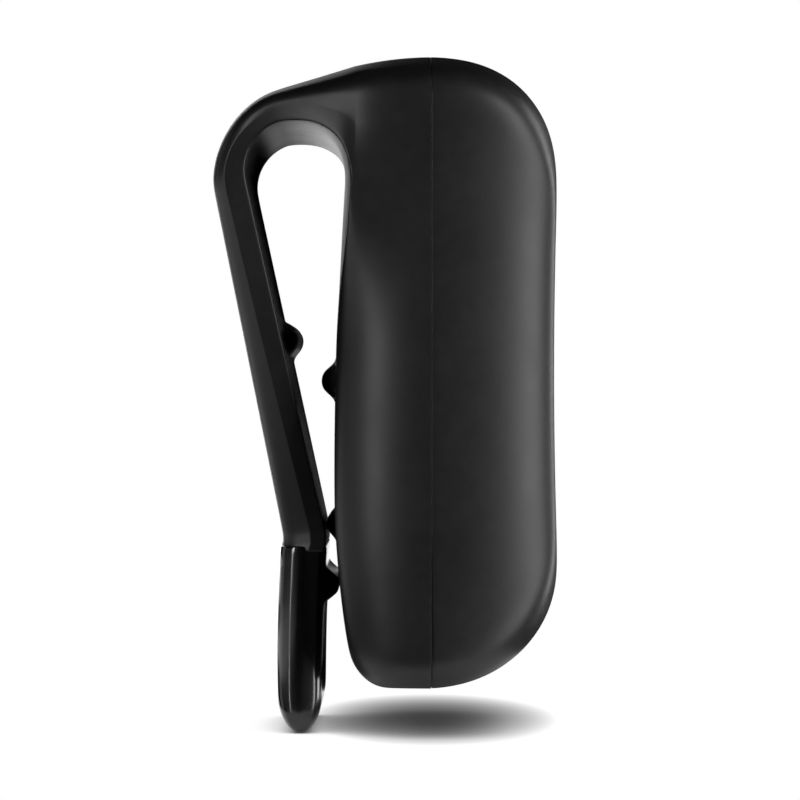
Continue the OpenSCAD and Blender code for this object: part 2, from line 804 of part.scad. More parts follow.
module base_inserts() {
    color([0.72, 0.55, 0.25])
    in_frame() at_lugs() translate([0, 0, lug_z]) difference() {
        cylinder(r = insert_r, h = insert_h);
        translate([0, 0, -1]) cylinder(r = screw_r + seat_gap / 2, h = insert_h + 2);
    }
}

module base_screws() {
    color([0.6, 0.6, 0.62])
    in_frame() at_lugs() {
        translate([0, 0, head_sunk]) cylinder(r = head_r, h = head_h);
        translate([0, 0, head_sunk + head_h / 2]) cylinder(r = screw_r, h = lug_z + insert_h - head_h);
    }
}

front_shell();
rear_cover();
housing_seal();
belt_clip();
clip_tip();
display_window();
window_adhesive();
lcd_panel();
backlight();
lcd_frame();
display_connector();
main_board();
board_screws();
gps_antenna();
antenna_plate();
receiver_shield();
receiver_chip();
board_chips();
switch_bodies();
power_key();
up_key();
down_key();
mark_key();
power_plunger();
up_plunger();
down_plunger();
mark_plunger();
battery_cell();
battery_pad();
battery_plug();
usb_socket();
port_cover();
base_inserts();
base_screws();
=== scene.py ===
# %% [markdown]
# # A clip-on satellite navigation receiver
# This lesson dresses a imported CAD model. The CAD model is the frame: it fixes every size and every
# joint, and each mesh made here sits in the same coordinates, in metres. The real object is a small
# rounded box in soft-touch black plastic. Its rear half runs over the roof into a belt clip.

# %% Load the frame
import json
import math

import bmesh
import bpy
from mathutils import Matrix, Vector

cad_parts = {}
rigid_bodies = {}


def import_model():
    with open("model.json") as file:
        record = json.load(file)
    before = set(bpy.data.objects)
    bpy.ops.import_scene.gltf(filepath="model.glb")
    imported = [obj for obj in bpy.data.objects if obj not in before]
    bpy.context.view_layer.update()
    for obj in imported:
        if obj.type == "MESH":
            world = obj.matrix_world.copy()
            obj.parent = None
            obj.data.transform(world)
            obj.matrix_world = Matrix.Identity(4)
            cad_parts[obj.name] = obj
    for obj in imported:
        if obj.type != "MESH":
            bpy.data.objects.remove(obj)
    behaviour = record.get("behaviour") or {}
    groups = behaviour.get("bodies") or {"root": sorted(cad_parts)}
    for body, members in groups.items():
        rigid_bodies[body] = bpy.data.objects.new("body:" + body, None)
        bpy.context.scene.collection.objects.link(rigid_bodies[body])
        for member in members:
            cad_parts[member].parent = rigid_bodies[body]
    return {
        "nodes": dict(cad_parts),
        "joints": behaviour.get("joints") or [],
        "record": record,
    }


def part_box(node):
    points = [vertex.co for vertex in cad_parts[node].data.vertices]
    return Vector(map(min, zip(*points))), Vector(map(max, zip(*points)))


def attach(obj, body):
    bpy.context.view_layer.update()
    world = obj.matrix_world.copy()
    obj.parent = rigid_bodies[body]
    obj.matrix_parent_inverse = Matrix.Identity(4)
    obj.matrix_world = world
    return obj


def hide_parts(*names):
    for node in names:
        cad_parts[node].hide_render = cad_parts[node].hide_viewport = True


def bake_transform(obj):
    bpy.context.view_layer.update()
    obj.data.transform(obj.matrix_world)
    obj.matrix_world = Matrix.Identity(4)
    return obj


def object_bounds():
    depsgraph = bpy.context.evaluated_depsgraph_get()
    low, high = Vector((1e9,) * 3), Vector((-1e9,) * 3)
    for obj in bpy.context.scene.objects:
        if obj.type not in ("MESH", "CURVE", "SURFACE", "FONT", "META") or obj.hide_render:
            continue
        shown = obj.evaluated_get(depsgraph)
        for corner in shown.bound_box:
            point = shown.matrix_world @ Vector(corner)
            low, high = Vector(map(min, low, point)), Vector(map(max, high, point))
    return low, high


for leftover in list(bpy.data.objects):
    bpy.data.objects.remove(leftover)
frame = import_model()
cad_low, cad_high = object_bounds()
print("CAD box, mm:", [round(v * 1000, 2) for v in cad_high - cad_low])

# %% [markdown]
# ## Camera
# The picture is a plain side view with little perspective, as from a long lens a short way off. The
# width that the picture spans at the middle of the object gives the focal length.

# %% Set up the camera
MM = 0.001
camera_distance = 400 * MM
view_width = 84 * MM
view_centre = Vector((0, -10.4, -23.4)) * MM
camera_data = bpy.data.cameras.new("side_camera")
camera_data.sensor_width = 36
camera_data.lens = camera_data.sensor_width * camera_distance / view_width
camera_data.clip_start = 0.01
camera = bpy.data.objects.new("side_camera", camera_data)
camera.location = view_centre - Vector((camera_distance, 0, 0))
camera.rotation_euler = (math.pi / 2, 0, -math.pi / 2)
bpy.context.collection.objects.link(camera)
bpy.context.scene.camera = camera
bpy.context.scene.view_settings.view_transform = "Standard"
print("focal length, mm:", round(camera_data.lens, 1))

# %% [markdown]
# ## Studio
# Black plastic only shows what it reflects, so the light is built from what stands around it: a white
# table, a black cloth tent, and tall soft boxes to the left and the right of each side. Their materials are
# made of nodes, so the helpers come first. The last one tells a ray that should see plain white, from the
# camera, a mirror or a clear piece, from a ray that carries light.

# %% Helpers for node materials


def add_node(material, kind, **settings):
    """A new node of that kind, with its own settings."""
    node = material.node_tree.nodes.new(kind)
    for name, value in settings.items():
        setattr(node, name, value)
    return node


def join(material, source, target):
    """Link an output socket to an input socket."""
    material.node_tree.links.new(source, target)


def seen_plainly(material):
    """One where a ray comes from the camera, a mirror or a clear piece, and zero elsewhere."""
    path = add_node(material, "ShaderNodeLightPath")
    first = add_node(material, "ShaderNodeMath", operation="MAXIMUM")
    both = add_node(material, "ShaderNodeMath", operation="MAXIMUM")
    join(material, path.outputs["Is Camera Ray"], first.inputs[0])
    join(material, path.outputs["Is Glossy Ray"], first.inputs[1])
    join(material, first.outputs[0], both.inputs[0])
    join(material, path.outputs["Is Transmission Ray"], both.inputs[1])
    return both.outputs[0]


# %% [markdown]
# ### Table
# The object stands on white paper with a soft pool of shade under it. Lit paper would throw its own light on
# to the black plastic, so this paper is shown as plain white and its shade is painted on. Ambient
# occlusion darkens it where the tip touches as painted shade, and a soft oval on Object coordinates is a
# painted shadow under the housing.

# %% Paper finish
touch_reach = 9 * MM
pool_middle = (7.92 * MM, -13.668 * MM)
pool_half = (33 * MM, 13.4 * MM)


def paper_finish(name, in_mirrors):
    """White paper with painted shade near the object, and its own strength in mirrored light."""
    material = bpy.data.materials.new(name)
    material.use_nodes = True
    nodes = material.node_tree.nodes
    nodes.remove(nodes["Principled BSDF"])
    # painted shade: ambient occlusion darkens the white paper where the tip touches
    contact = add_node(material, "ShaderNodeAmbientOcclusion", samples=24)
    contact.inputs["Distance"].default_value = touch_reach
    touch = add_node(material, "ShaderNodeMapRange")
    touch.inputs["From Min"].default_value = 0.1
    touch.inputs["From Max"].default_value = 0.65
    touch.inputs["To Min"].default_value = 0.05
    join(material, contact.outputs["AO"], touch.inputs["Value"])
    place = add_node(material, "ShaderNodeTexCoord")
    # painted shadow: a soft oval under the housing, fixed on Object coordinates
    pool = add_node(material, "ShaderNodeMapping")
    pool.inputs["Location"].default_value = (-pool_middle[0] / pool_half[0],
                                             -pool_middle[1] / pool_half[1], 0)
    pool.inputs["Scale"].default_value = (1 / pool_half[0], 1 / pool_half[1], 0)
    join(material, place.outputs["Object"], pool.inputs["Vector"])
    away = add_node(material, "ShaderNodeVectorMath", operation="LENGTH")
    join(material, pool.outputs["Vector"], away.inputs[0])
    fade = add_node(material, "ShaderNodeMath", operation="POWER", use_clamp=True)
    fade.inputs[1].default_value = 2.8
    join(material, away.outputs["Value"], fade.inputs[0])
    depth = add_node(material, "ShaderNodeMapRange")
    depth.inputs["To Min"].default_value = 0.1
    join(material, fade.outputs[0], depth.inputs["Value"])
    shade = add_node(material, "ShaderNodeMath", operation="MULTIPLY")
    join(material, touch.outputs["Result"], shade.inputs[0])
    join(material, depth.outputs["Result"], shade.inputs[1])
    path = add_node(material, "ShaderNodeLightPath")
    mirrored = add_node(material, "ShaderNodeMapRange")
    mirrored.inputs["To Min"].default_value = 1
    mirrored.inputs["To Max"].default_value = in_mirrors
    join(material, path.outputs["Is Glossy Ray"], mirrored.inputs["Value"])
    level = add_node(material, "ShaderNodeMath", operation="MULTIPLY")
    join(material, shade.outputs[0], level.inputs[0])
    join(material, mirrored.outputs["Result"], level.inputs[1])
    glow = add_node(material, "ShaderNodeEmission")
    join(material, level.outputs[0], glow.inputs["Strength"])
    paper = add_node(material, "ShaderNodeBsdfDiffuse")
    paper.inputs["Color"].default_value = (0.8, 0.8, 0.8, 1)
    either = add_node(material, "ShaderNodeMixShader")
    join(material, seen_plainly(material), either.inputs["Fac"])
    join(material, paper.outputs[0], either.inputs[1])
    join(material, glow.outputs[0], either.inputs[2])
    join(material, either.outputs[0], nodes["Material Output"].inputs["Surface"])
    return material


print("pool of shade, mm:", [round(2 * half / MM, 1) for half in pool_half])

# %% [markdown]
# ### Sheets
# One sheet is the table under the object. Two more lie further off, where only polished surfaces find them;
# they are a little brighter there, as paper close to a lamp is. Each is a single flat grid, since paper has
# no thickness that would show.

# %% Lay the sheets


def sheet(name, middle, half_x, half_y, in_mirrors):
    """A flat sheet of paper just under the object's lowest point."""
    mesh = bpy.data.meshes.new(name)
    bm = bmesh.new()
    bmesh.ops.create_grid(bm, x_segments=1, y_segments=1, size=1)
    bmesh.ops.scale(bm, verts=bm.verts, vec=(half_x, half_y, 1))
    bmesh.ops.translate(bm, verts=bm.verts, vec=(middle[0], middle[1], cad_low.z - 0.02 * MM))
    bm.to_mesh(mesh)
    bm.free()
    mesh.materials.append(paper_finish(name, in_mirrors))
    obj = bpy.data.objects.new(name, mesh)
    bpy.context.collection.objects.link(obj)


sheet("table", (8.5 * MM, -10 * MM), 35.5 * MM, 20 * MM, 1)
sheet("side_card", (-0.05, 0.24), 0.2, 0.17, 1.3)
sheet("far_card", (0.75, 0.27), 0.4, 0.33, 1.7)
print("table height, mm:", round(cad_low.z / MM, 2))

# %% [markdown]
# ### Tent
# With nothing dark around it, black plastic looks grey. In a studio the answer is black cloth on stands. Here
# it is one box turned inside out and hidden from the camera, so that reflections find black between the
# lamps.

# %% Black cloth tent


def cloth_finish():
    """Black cloth that gives back next to no light."""
    material = bpy.data.materials.new("black_cloth")
    material.use_nodes = True
    shader = material.node_tree.nodes["Principled BSDF"]
    shader.inputs["Base Color"].default_value = (0.012, 0.012, 0.012, 1)
    shader.inputs["Roughness"].default_value = 1
    shader.inputs["Specular IOR Level"].default_value = 0
    return material


tent_mesh = bpy.data.meshes.new("tent")
bm = bmesh.new()
bmesh.ops.create_cube(bm, size=2)
bmesh.ops.scale(bm, verts=bm.verts, vec=(2.4, 2.4, 0.8))
bmesh.ops.reverse_faces(bm, faces=bm.faces)
bm.to_mesh(tent_mesh)
bm.free()
tent_mesh.materials.append(cloth_finish())
tent = bpy.data.objects.new("tent", tent_mesh)
tent.visible_camera = False
tent.visible_transmission = False
bpy.context.collection.objects.link(tent)
print("tent made around the table")

# %% [markdown]
# ### Lamps
# A soft box is a lamp behind a white sheet, and its reflection is the long soft light on a rounded edge. A
# surface shows a lamp where it is turned half way towards it, so each lamp's turn follows from where the
# light lies on the object. The far boxes do the same for views from behind.

# %% Soft boxes and world
middle = (cad_low + cad_high) / 2


def soft_box(name, turn, rise, width, height, watts, distance=0.5):
    """A rectangular lamp at that turn from the camera's side, looking at the middle of the object."""
    data = bpy.data.lights.new(name, "AREA")
    data.shape = "RECTANGLE"
    data.size = width
    data.size_y = height
    data.energy = watts
    lamp = bpy.data.objects.new(name, data)
    flat = math.cos(math.radians(rise))
    away = Vector((-math.cos(math.radians(turn)) * flat, math.sin(math.radians(turn)) * flat,
                   math.sin(math.radians(rise))))
    lamp.location = middle + away * distance
    lamp.rotation_euler = away.to_track_quat("Z", "Y").to_euler()
    lamp.visible_camera = False
    bpy.context.collection.objects.link(lamp)


soft_box("screen_side_box", -58, 2, 0.2, 0.7, 3.2)
soft_box("clip_side_strip", 38, 14, 0.07, 0.24, 0.82)
soft_box("tip_strip", 41, -3, 0.02, 0.17, 0.16)
soft_box("clip_side_wall", 72, 0, 0.5, 0.26, 0.08)
soft_box("slot_card", 166, 4, 0.2, 0.3, 0.4)
soft_box("far_screen_box", -118, 6, 0.16, 0.5, 1.4)
soft_box("far_clip_box", 118, 6, 0.2, 0.4, 0.12)
world = bpy.data.worlds.new("studio")
bpy.context.scene.world = world
world.use_nodes = True
sky = world.node_tree.nodes["Background"]
level = add_node(world, "ShaderNodeMapRange")
level.inputs["To Min"].default_value = 0.3
join(world, seen_plainly(world), level.inputs["Value"])
sky.inputs["Color"].default_value = (1, 1, 1, 1)
join(world, level.outputs["Result"], sky.inputs["Strength"])

# %% [markdown]
# ## Finishes
# A moulded part is never one flat tone. Each finish below starts from a Principled shader, sets what is
# the same all over on the shader itself, and lets noise on Object coordinates vary colour and roughness
# and raise a fine grain. The helpers keep each finish to a few lines.

# %% Helpers for finishes


def start_finish(name, roughness=0.5, specular=0.5, metallic=0.0):
    """A Principled material with its constant values set on the shader."""
    material = bpy.data.materials.new(name)
    material.use_nodes = True
    shader = material.node_tree.nodes["Principled BSDF"]
    shader.inputs["Roughness"].default_value = roughness
    shader.inputs["Specular IOR Level"].default_value = specular
    shader.inputs["Metallic"].default_value = metallic
    return material, shader


def noise(material, size, detail=2.0, stretch=(1, 1, 1)):
    """Noise whose blotches are about that many millimetres, on Object coordinates."""
    place = add_node(material, "ShaderNodeTexCoord")
    turn = add_node(material, "ShaderNodeMapping")
    turn.inputs["Scale"].default_value = stretch
    cloud = add_node(material, "ShaderNodeTexNoise")
    cloud.inputs["Scale"].default_value = 1 / (size * MM)
    cloud.inputs["Detail"].default_value = detail
    join(material, place.outputs["Object"], turn.inputs["Vector"])
    join(material, turn.outputs["Vector"], cloud.inputs["Vector"])
    return cloud.outputs["Fac"]


def tint(material, shader, pattern, dark, light):
    """Base colour between two greys or colours, by the pattern."""
    ramp = add_node(material, "ShaderNodeValToRGB")
    ramp.color_ramp.elements[0].position = 0.3
    ramp.color_ramp.elements[0].color = (*dark, 1)
    ramp.color_ramp.elements[1].position = 0.7
    ramp.color_ramp.elements[1].color = (*light, 1)
    join(material, pattern, ramp.inputs["Fac"])
    join(material, ramp.outputs["Color"], shader.inputs["Base Color"])


def gloss(material, shader, pattern, low, high):
    """Roughness between two values, by the pattern."""
    spread = add_node(material, "ShaderNodeMapRange")
    spread.inputs["From Min"].default_value = 0.3
    spread.inputs["From Max"].default_value = 0.7
    spread.inputs["To Min"].default_value = low
    spread.inputs["To Max"].default_value = high
    join(material, pattern, spread.inputs["Value"])
    join(material, spread.outputs["Result"], shader.inputs["Roughness"])


def grain(material, shader, pattern, height, strength=1.0):
    """Fine relief of that height in millimetres."""
    bump = add_node(material, "ShaderNodeBump")
    bump.inputs["Distance"].default_value = height * MM
    bump.inputs["Strength"].default_value = strength
    join(material, pattern, bump.inputs["Height"])
    join(material, bump.outputs["Normal"], shader.inputs["Normal"])


# %% [markdown]
# ### Shell, tip and rubber
# The shell is sprayed with soft-touch lacquer: nearly black, satin, with a very fine grain. The tip is the
# same black without the lacquer, polished by its mould. Keys and seals are rubber, paler and duller. All are
# the same few helpers with other values, which keeps them alike where the real materials are alike.

# %% Soft-touch shell and polished tip


def soft_touch_finish():
    """Soft-touch black lacquer: satin, with a fine even grain and faint rubbed patches."""
    material, shader = start_finish("soft_touch_black", specular=0.4)
    tint(material, shader, noise(material, 1.4, 4), (0.006, 0.006, 0.0062), (0.009, 0.009, 0.0093))
    gloss(material, shader, noise(material, 7, 3), 0.4, 0.45)
    grain(material, shader, noise(material, 0.16, 2), 0.006)
    return material


def polished_finish():
    """Polished black plastic with faint handling marks."""
    material, shader = start_finish("polished_black", specular=0.5)
    tint(material, shader, noise(material, 3, 3), (0.006, 0.006, 0.006), (0.009, 0.009, 0.009))
    gloss(material, shader, noise(material, 2.5, 5, (1, 1, 0.3)), 0.12, 0.17)
    grain(material, shader, noise(material, 5, 2), 0.02)
    return material


def rubber_finish(name, dark, light):
    """Moulded rubber: dull, with a slightly dusty skin."""
    material, shader = start_finish(name, specular=0.3)
    tint(material, shader, noise(material, 0.9, 4), dark, light)
    gloss(material, shader, noise(material, 3, 3), 0.58, 0.72)
    grain(material, shader, noise(material, 0.12, 2), 0.008)
    return material


soft_touch = soft_touch_finish()
polished = polished_finish()
key_rubber = rubber_finish("key_rubber", (0.035, 0.035, 0.036), (0.05, 0.05, 0.052))
seal_rubber = rubber_finish("seal_rubber", (0.012, 0.012, 0.012), (0.02, 0.02, 0.02))
print("finishes:", soft_touch.name, polished.name, key_rubber.name, seal_rubber.name)

# %% [markdown]
# ## Housing outline
# Both halves of the housing are pillows: seen from the front each slice is a rounded rectangle, and the
# slices shrink towards the screen face or the back. One function gives the rounded rectangle and two more
# say how a slice shrinks. Sizes are millimetres, measured back from the seam and up from the base.

# %% Sizes and slices
seam_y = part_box("housing_seal")[0].y / MM
base_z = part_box("rear_cover")[0].z / MM
half_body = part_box("front_shell")[1].x / MM
front_depth = seam_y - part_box("front_shell")[0].y / MM
body_height = 64.8
rear_depth = 9.8
wall = 1.8
edge_radius = 3.2
roof_edge_radius = 2.3
roof_crown = 2.9


def spot(x, y, z):
    """A place measured from the seam and the base, in the frame's metres."""
    return Vector((x, y + seam_y, z + base_z)) * MM


def falling(s, power):
    """A rounded fall from one to nothing as s goes from nothing to one."""
    return max(0.0, 1 - s ** power) ** (1 / power)


def easing(t):
    """A smooth step from nothing to one."""
    t = min(max(t, 0.0), 1.0)
    return t * t * (3 - 2 * t)


def rounded(u, v, half, low, high, radius, crown=0.0):
    """The place u, v, each from -1 to 1, on a rounded rectangle whose top falls by crown at its sides."""
    tall = (high - low) / 2
    x = u * half
    z = v * tall
    past_x = abs(x) - (half - radius)
    past_z = abs(z) - (tall - radius)
    if past_x > 0 and past_z > 0:
        pull = max(past_x, past_z) / math.hypot(past_x, past_z)
        x = math.copysign(half - radius + past_x * pull, x)
        z = math.copysign(tall - radius + past_z * pull, z)
    rise = max(0.0, z / tall)
    return x, low + tall + z - crown * (x / half) ** 2 * rise ** 2


def edge_round(v):
    """The radius of the long edges: small along the roof, larger along the base."""
    return roof_edge_radius if v > 0 else edge_radius


half_lines = [0.17, 0.34, 0.5, 0.64, 0.76, 0.85, 0.925, 1.0]
across = [-u for u in reversed(half_lines)] + [0.0] + half_lines


def border(columns, rows):
    """The places around the edge of a grid with those columns and rows, in order."""
    right = len(columns) - 1
    top = len(rows) - 1
    path = [(i, 0) for i in range(right)] + [(right, j) for j in range(top)]
    path += [(i, top) for i in range(right, 0, -1)] + [(0, j) for j in range(top, 0, -1)]
    return [(columns[i], rows[j]) for i, j in path]


print("seam and base, mm:", round(seam_y, 2), round(base_z, 2), "half width:", round(half_body, 2))

# %% [markdown]
# ### Growing a cage
# A moulded shell is a closed skin with hardly a straight line, so it is modelled as a coarse cage that
# subdivision rounds off. A cage starts as one ring of numbered vertices. The ring is extruded, each new
# vertex is put in its place by its number, and the operator makes the faces in between.

# %% Helpers that grow a cage ring by ring


def start_ring(count):
    """A new mesh with one ring of vertices, each with its number around the ring."""
    bm = bmesh.new()
    station = bm.verts.layers.int.new("station")
    bmesh.ops.create_circle(bm, segments=count, radius=1)
    for number, vert in enumerate(bm.verts):
        vert[station] = number
    return bm, station, list(bm.edges)


def draw_out(bm, station, ring, place):
    """Extrude a ring of edges, and put each new vertex where place says for its number."""
    made = bmesh.ops.extrude_edge_only(bm, edges=ring)["geom"]
    verts = {item for item in made if isinstance(item, bmesh.types.BMVert)}
    for vert in verts:
        vert.co = place(vert[station])
    return [item for item in made if isinstance(item, bmesh.types.BMEdge) and verts.issuperset(item.verts)]


print("a ring across both ways has", len(border(across, across)), "places")

# %% [markdown]
# ### From cage to finished piece
# A cage is smoothed by a Subdivision Surface modifier and read back as a mesh, so that holes can be carved
# into the smooth shape. Carving is a Boolean modifier, and the slivers it leaves are merged away. Last, the
# piece gets its finish, and is told which body it rides on and which CAD node it replaces.

# %% Helpers that smooth, carve and settle a piece


def as_object(name, bm):
    """A linked object that holds the mesh."""
    mesh = bpy.data.meshes.new(name)
    bm.to_mesh(mesh)
    bm.free()
    obj = bpy.data.objects.new(name, mesh)
    bpy.context.collection.objects.link(obj)
    return obj


def baked(obj):
    """The mesh of an object with its modifiers, as a new bmesh; the object goes."""
    seen = obj.evaluated_get(bpy.context.evaluated_depsgraph_get())
    mesh = bpy.data.meshes.new_from_object(seen)
    bm = bmesh.new()
    bm.from_mesh(mesh)
    bpy.data.meshes.remove(mesh)
    bpy.data.objects.remove(obj)
    return bm


def smoothed(bm, levels=2):
    """A cage rounded off by subdivision."""
    bmesh.ops.recalc_face_normals(bm, faces=bm.faces)
    obj = as_object("cage", bm)
    smooth = obj.modifiers.new("smooth", "SUBSURF")
    smooth.levels = levels
    smooth.render_levels = levels
    return baked(obj)


hair = 0.0005 * MM


def carved(bm, tool, operation="DIFFERENCE"):
    """One closed mesh cut by, or joined to, another."""
    bmesh.ops.recalc_face_normals(tool, faces=tool.faces)
    work = as_object("work", bm)
    cutter = as_object("cutter", tool)
    cut = work.modifiers.new("cut", "BOOLEAN")
    cut.operation = operation
    cut.solver = "EXACT"
    cut.object = cutter
    result = baked(work)
    bpy.data.objects.remove(cutter)
    bmesh.ops.remove_doubles(result, verts=result.verts, dist=hair)
    bmesh.ops.dissolve_degenerate(result, edges=result.edges, dist=hair)
    return result


def settle(name, bm, finish, body, slot, *nodes, sharp=38):
    """The finished piece: smooth shaded, in its material, riding on its body."""
    for face in bm.faces:
        face.smooth = True
        face.material_index = 0
    obj = as_object(name, bm)
    obj.data.set_sharp_from_angle(angle=math.radians(sharp))
    obj.data.materials.clear()
    obj.data.materials.append(finish)
    if body:
        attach(obj, body)
    if nodes:
        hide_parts(*nodes)
    print(name, "has", len(obj.data.polygons), "faces")
    return obj


# %% [markdown]
# ## Rear cover and clip arm
# On the real object the rear cover, the arch over the belt and the clip arm are one moulding, so they are
# modelled as one cage. A grid makes the back. Its edge is extruded slice by slice to the seam and on to the
# inner wall. Then the top of the grid is opened, and that loop is extruded over the arch and down the arm.
# Subdivision turns every inner corner into the soft fillet of a moulding.

# %% Sizes of the back
back_half = 15.5
foot_radius = 3.6
bulge_z = 0.32 * body_height
bend_y = -seam_y
bend_z = -base_z
roof_drop = 1.02
root_crown = 2.3
crown_fall = 0.85
neck_draw = 1.6
neck_middle = 9.2
neck_spread = 1.35
upper_fall = 1.05
lower_fall = 1.45
belly_top = 20
belly_draw = 1.6
back_low = foot_radius
back_high = body_height - roof_drop
slot_radius = frame["record"]["mounts"][0]["dims"]["r_mm"]
clip_thickness = 4.1
body_rib_z = bend_z - 21.4
stop_z = 16.3


def rear_at(z):
    """How far the back stands behind the seam at that height."""
    if z > bulge_z:
        return rear_depth - upper_fall * ((z - bulge_z) / (bend_z - bulge_z)) ** 2
    return rear_depth - lower_fall * ((bulge_z - z) / (bulge_z - foot_radius)) ** 2


print("belt ribs, mm above the base:", round(body_rib_z, 2), stop_z)

# %% [markdown]
# ### Slices of the back
# Each slice is a rounded rectangle again. Low down it shrinks like a pillow; beside the arch it keeps its
# width, because there the shoulder runs on into the clip. Smooth steps in height lead from one to the other.

# %% Slices of the back


def upper_share(z):
    """Nothing on the lower back, one where it nears the arch."""
    return easing((z - 37) / 12)


def shoulder_share(z):
    """Nothing below the arch, one on the shoulder beside it."""
    return easing((z - 54) / 5)


def back_crown(u, z):
    """How far the back falls away towards its sides, where it nears the arch."""
    return crown_fall * upper_share(z) * u ** 4


def belly(z):
    """How far the sides draw in towards the base."""
    return belly_draw * max(0.0, (belly_top - z) / belly_top) ** 2.2


def narrowing(y):
    """How far the sides have drawn in at that distance behind the seam, on the way into the arch."""
    return neck_draw / (1 + math.exp((neck_middle - y) / neck_spread))


def rear_slice(u, v, s, inset=0.0):
    """A place on the slice s of the rear half: nothing at the seam, one at the back."""
    height = back_low + (v + 1) / 2 * (back_high - back_low)
    pillow = back_half + (half_body - back_half) * falling(s, 2.2)
    shoulder = half_body - narrowing(rear_at(height) * s) * shoulder_share(height)
    half = pillow + (shoulder - pillow) * upper_share(height) - inset - belly(height)
    low = foot_radius * (1 - falling(max(0.0, (s - 0.6) / 0.4), 2)) + inset
    high = body_height - roof_drop * s * s - inset
    crown = roof_crown + (root_crown - roof_crown) * s * s
    return rounded(u, v, half, low, high, max(0.8, edge_round(v) - inset), crown)


print("half width where the arch starts, mm:", round(half_body - narrowing(rear_depth), 2))

# %% [markdown]
# ### Rows up the back
# The grid needs rows only where something happens: close together at each rib and at the arch, further
# apart on the plain stretches between. Even rows, fine enough for the ribs, would make the cage heavy and
# let ripples in.

# %% Rows up the back


def rib_rows(z, span):
    """Rows close enough together for a rib at that height."""
    return [z + span * f for f in (-1.3, -0.95, -0.6, -0.3, 0, 0.3, 0.6, 0.95, 1.3)]


arch_rows = [0.0, 0.025, 0.46, 0.5, 0.54, 0.7, 0.82, 0.92, 1.0]
arch_foot = bend_z
heights = [back_low, 4.6, 6.2, 8.6, 11.4] + rib_rows(stop_z, 1.5) + [21, 24, 26.8]
heights += rib_rows(body_rib_z, 1.75) + [36.4, 40.5, 44.5, 48, 50.6]
heights += [arch_foot + f * (back_high - arch_foot) for f in arch_rows]
upward = [(z - back_low) / (back_high - back_low) * 2 - 1 for z in heights]
print("rows up the back:", len(heights))

# %% [markdown]
# ### Belt ribs
# Two low ribs on the back keep a belt from slipping. They could be bars set on the back, but on the real
# cover they are part of the moulding, so the grid itself is lifted along an arc. Its rows lie close together
# there, and the ribs stay crisp after smoothing.

# %% Ribs on the back
body_rib_half = 9.9
stop_rib_half = 8.9


def bump(distance, radius, sunk):
    """How far a round rib, sunk by that much, stands out at a distance from its middle."""
    return max(0.0, math.sqrt(max(0.0, radius ** 2 - distance ** 2)) - sunk)


def back_y(x, z):
    """The back with its two belt ribs."""
    y = rear_at(z)
    if abs(x) < body_rib_half:
        y += bump(z - body_rib_z, 1.8, 0.2)
    if abs(x) < stop_rib_half:
        y += bump(z - stop_z, 1.7, 0.65)
    return y


bm = bmesh.new()
station = bm.verts.layers.int.new("station")
clip_mark = 1
columns = len(across) - 1
rows = len(heights) - 1
bmesh.ops.create_grid(bm, x_segments=columns, y_segments=rows, size=1)
grid = {}
for vert in bm.verts:
    place = (round((vert.co.x + 1) / 2 * columns), round((vert.co.y + 1) / 2 * rows))
    grid[place] = vert
for (i, j), vert in grid.items():
    x, z = rear_slice(across[i], upward[j], 1)
    vert.co = spot(x, back_y(x, z) - back_crown(across[i], z), z)
print("back grid:", len(bm.verts), "vertices")

# %% [markdown]
# ### Sides and inner wall
# The sides are the edge of the back, extruded forward in slices that widen to the seam. At the seam a small
# step makes the fine line between the halves. Then the ring turns back inside, a wall's thickness in, and is
# closed, because the real cover is a shell.

# %% Slices to the seam and the inner wall
ring_places = border(across, upward)
ring_numbers = border(range(columns + 1), range(rows + 1))
for number, place in enumerate(ring_numbers):
    grid[place][station] = number
ring = [edge for edge in bm.edges if edge.is_boundary]


def outer_place(s, depth=None, inset=0.0):
    """Places on a slice of the outside, at its own depth or a given one."""
    def place(number):
        u, v = ring_places[number]
        x, z = rear_slice(u, v, s, inset)
        return spot(x, (rear_at(z) - back_crown(u, z)) * s if depth is None else depth, z)
    return place


def inner_place(s):
    """Places on a slice of the inside."""
    def place(number):
        u, v = ring_places[number]
        x, z = rear_slice(u, v, s, wall)
        return spot(x, (rear_at(z) - wall - back_crown(u, z)) * s, z)
    return place


for turn in (83, 76, 68, 59, 49, 39, 29, 19, 10):
    ring = draw_out(bm, station, ring, outer_place(math.sin(math.radians(turn))))
for depth, inset in ((0.5, 0), (0.2, 0), (0.028, 0.003), (0.006, 0.026), (0.006, 1.5), (0.1, 1.75)):
    ring = draw_out(bm, station, ring, outer_place(0, depth, inset))
for s in (0.1, 0.35, 0.6, 0.8, 0.92, 0.985):
    ring = draw_out(bm, station, ring, inner_place(s))
bmesh.ops.edgeloop_fill(bm, edges=ring)
print("rear cage:", len(bm.faces), "faces")

# %% [markdown]
# ## Arch and arm
# The arch follows the round top of the belt slot, whose centre is the frame's origin. Each ring is a rounded
# bar across the slot, given by its inner and its outer edge, and on the arm the inner edge swells into a
# grip rib. A low ridge runs along the arm's sides: towards the belt they face the camera, and beyond the
# ridge they lean away.

# %% Sizes of the clip
tip_width = 25
arm_lean = math.radians(11.1)
root_turn = 73
clip_round = 1.5
root_round = 2.2
arch_crown = 1.7
inner_round = 0.2
ridge_row = 0.5
ridge_top = 0.66
ridge_foot = 0.36
inner_lean = 0.25
side_lean = 1.5
arm_half = 17.4
arm_crown = 0.3
arm_thin = 0.4
arm_growth = 0.84
grip_half = 9.7
flex_taper = 0.93
bend_middle = slot_radius + clip_thickness / 2
bend_outer = slot_radius + clip_thickness + 0.25


def around(radius, degrees):
    """A place around the centre of the slot's round top: y and z."""
    angle = math.radians(degrees)
    return Vector((bend_y + radius * math.cos(angle), bend_z + radius * math.sin(angle)))


print("thickness of the arch, mm:", round(bend_outer - slot_radius, 2))

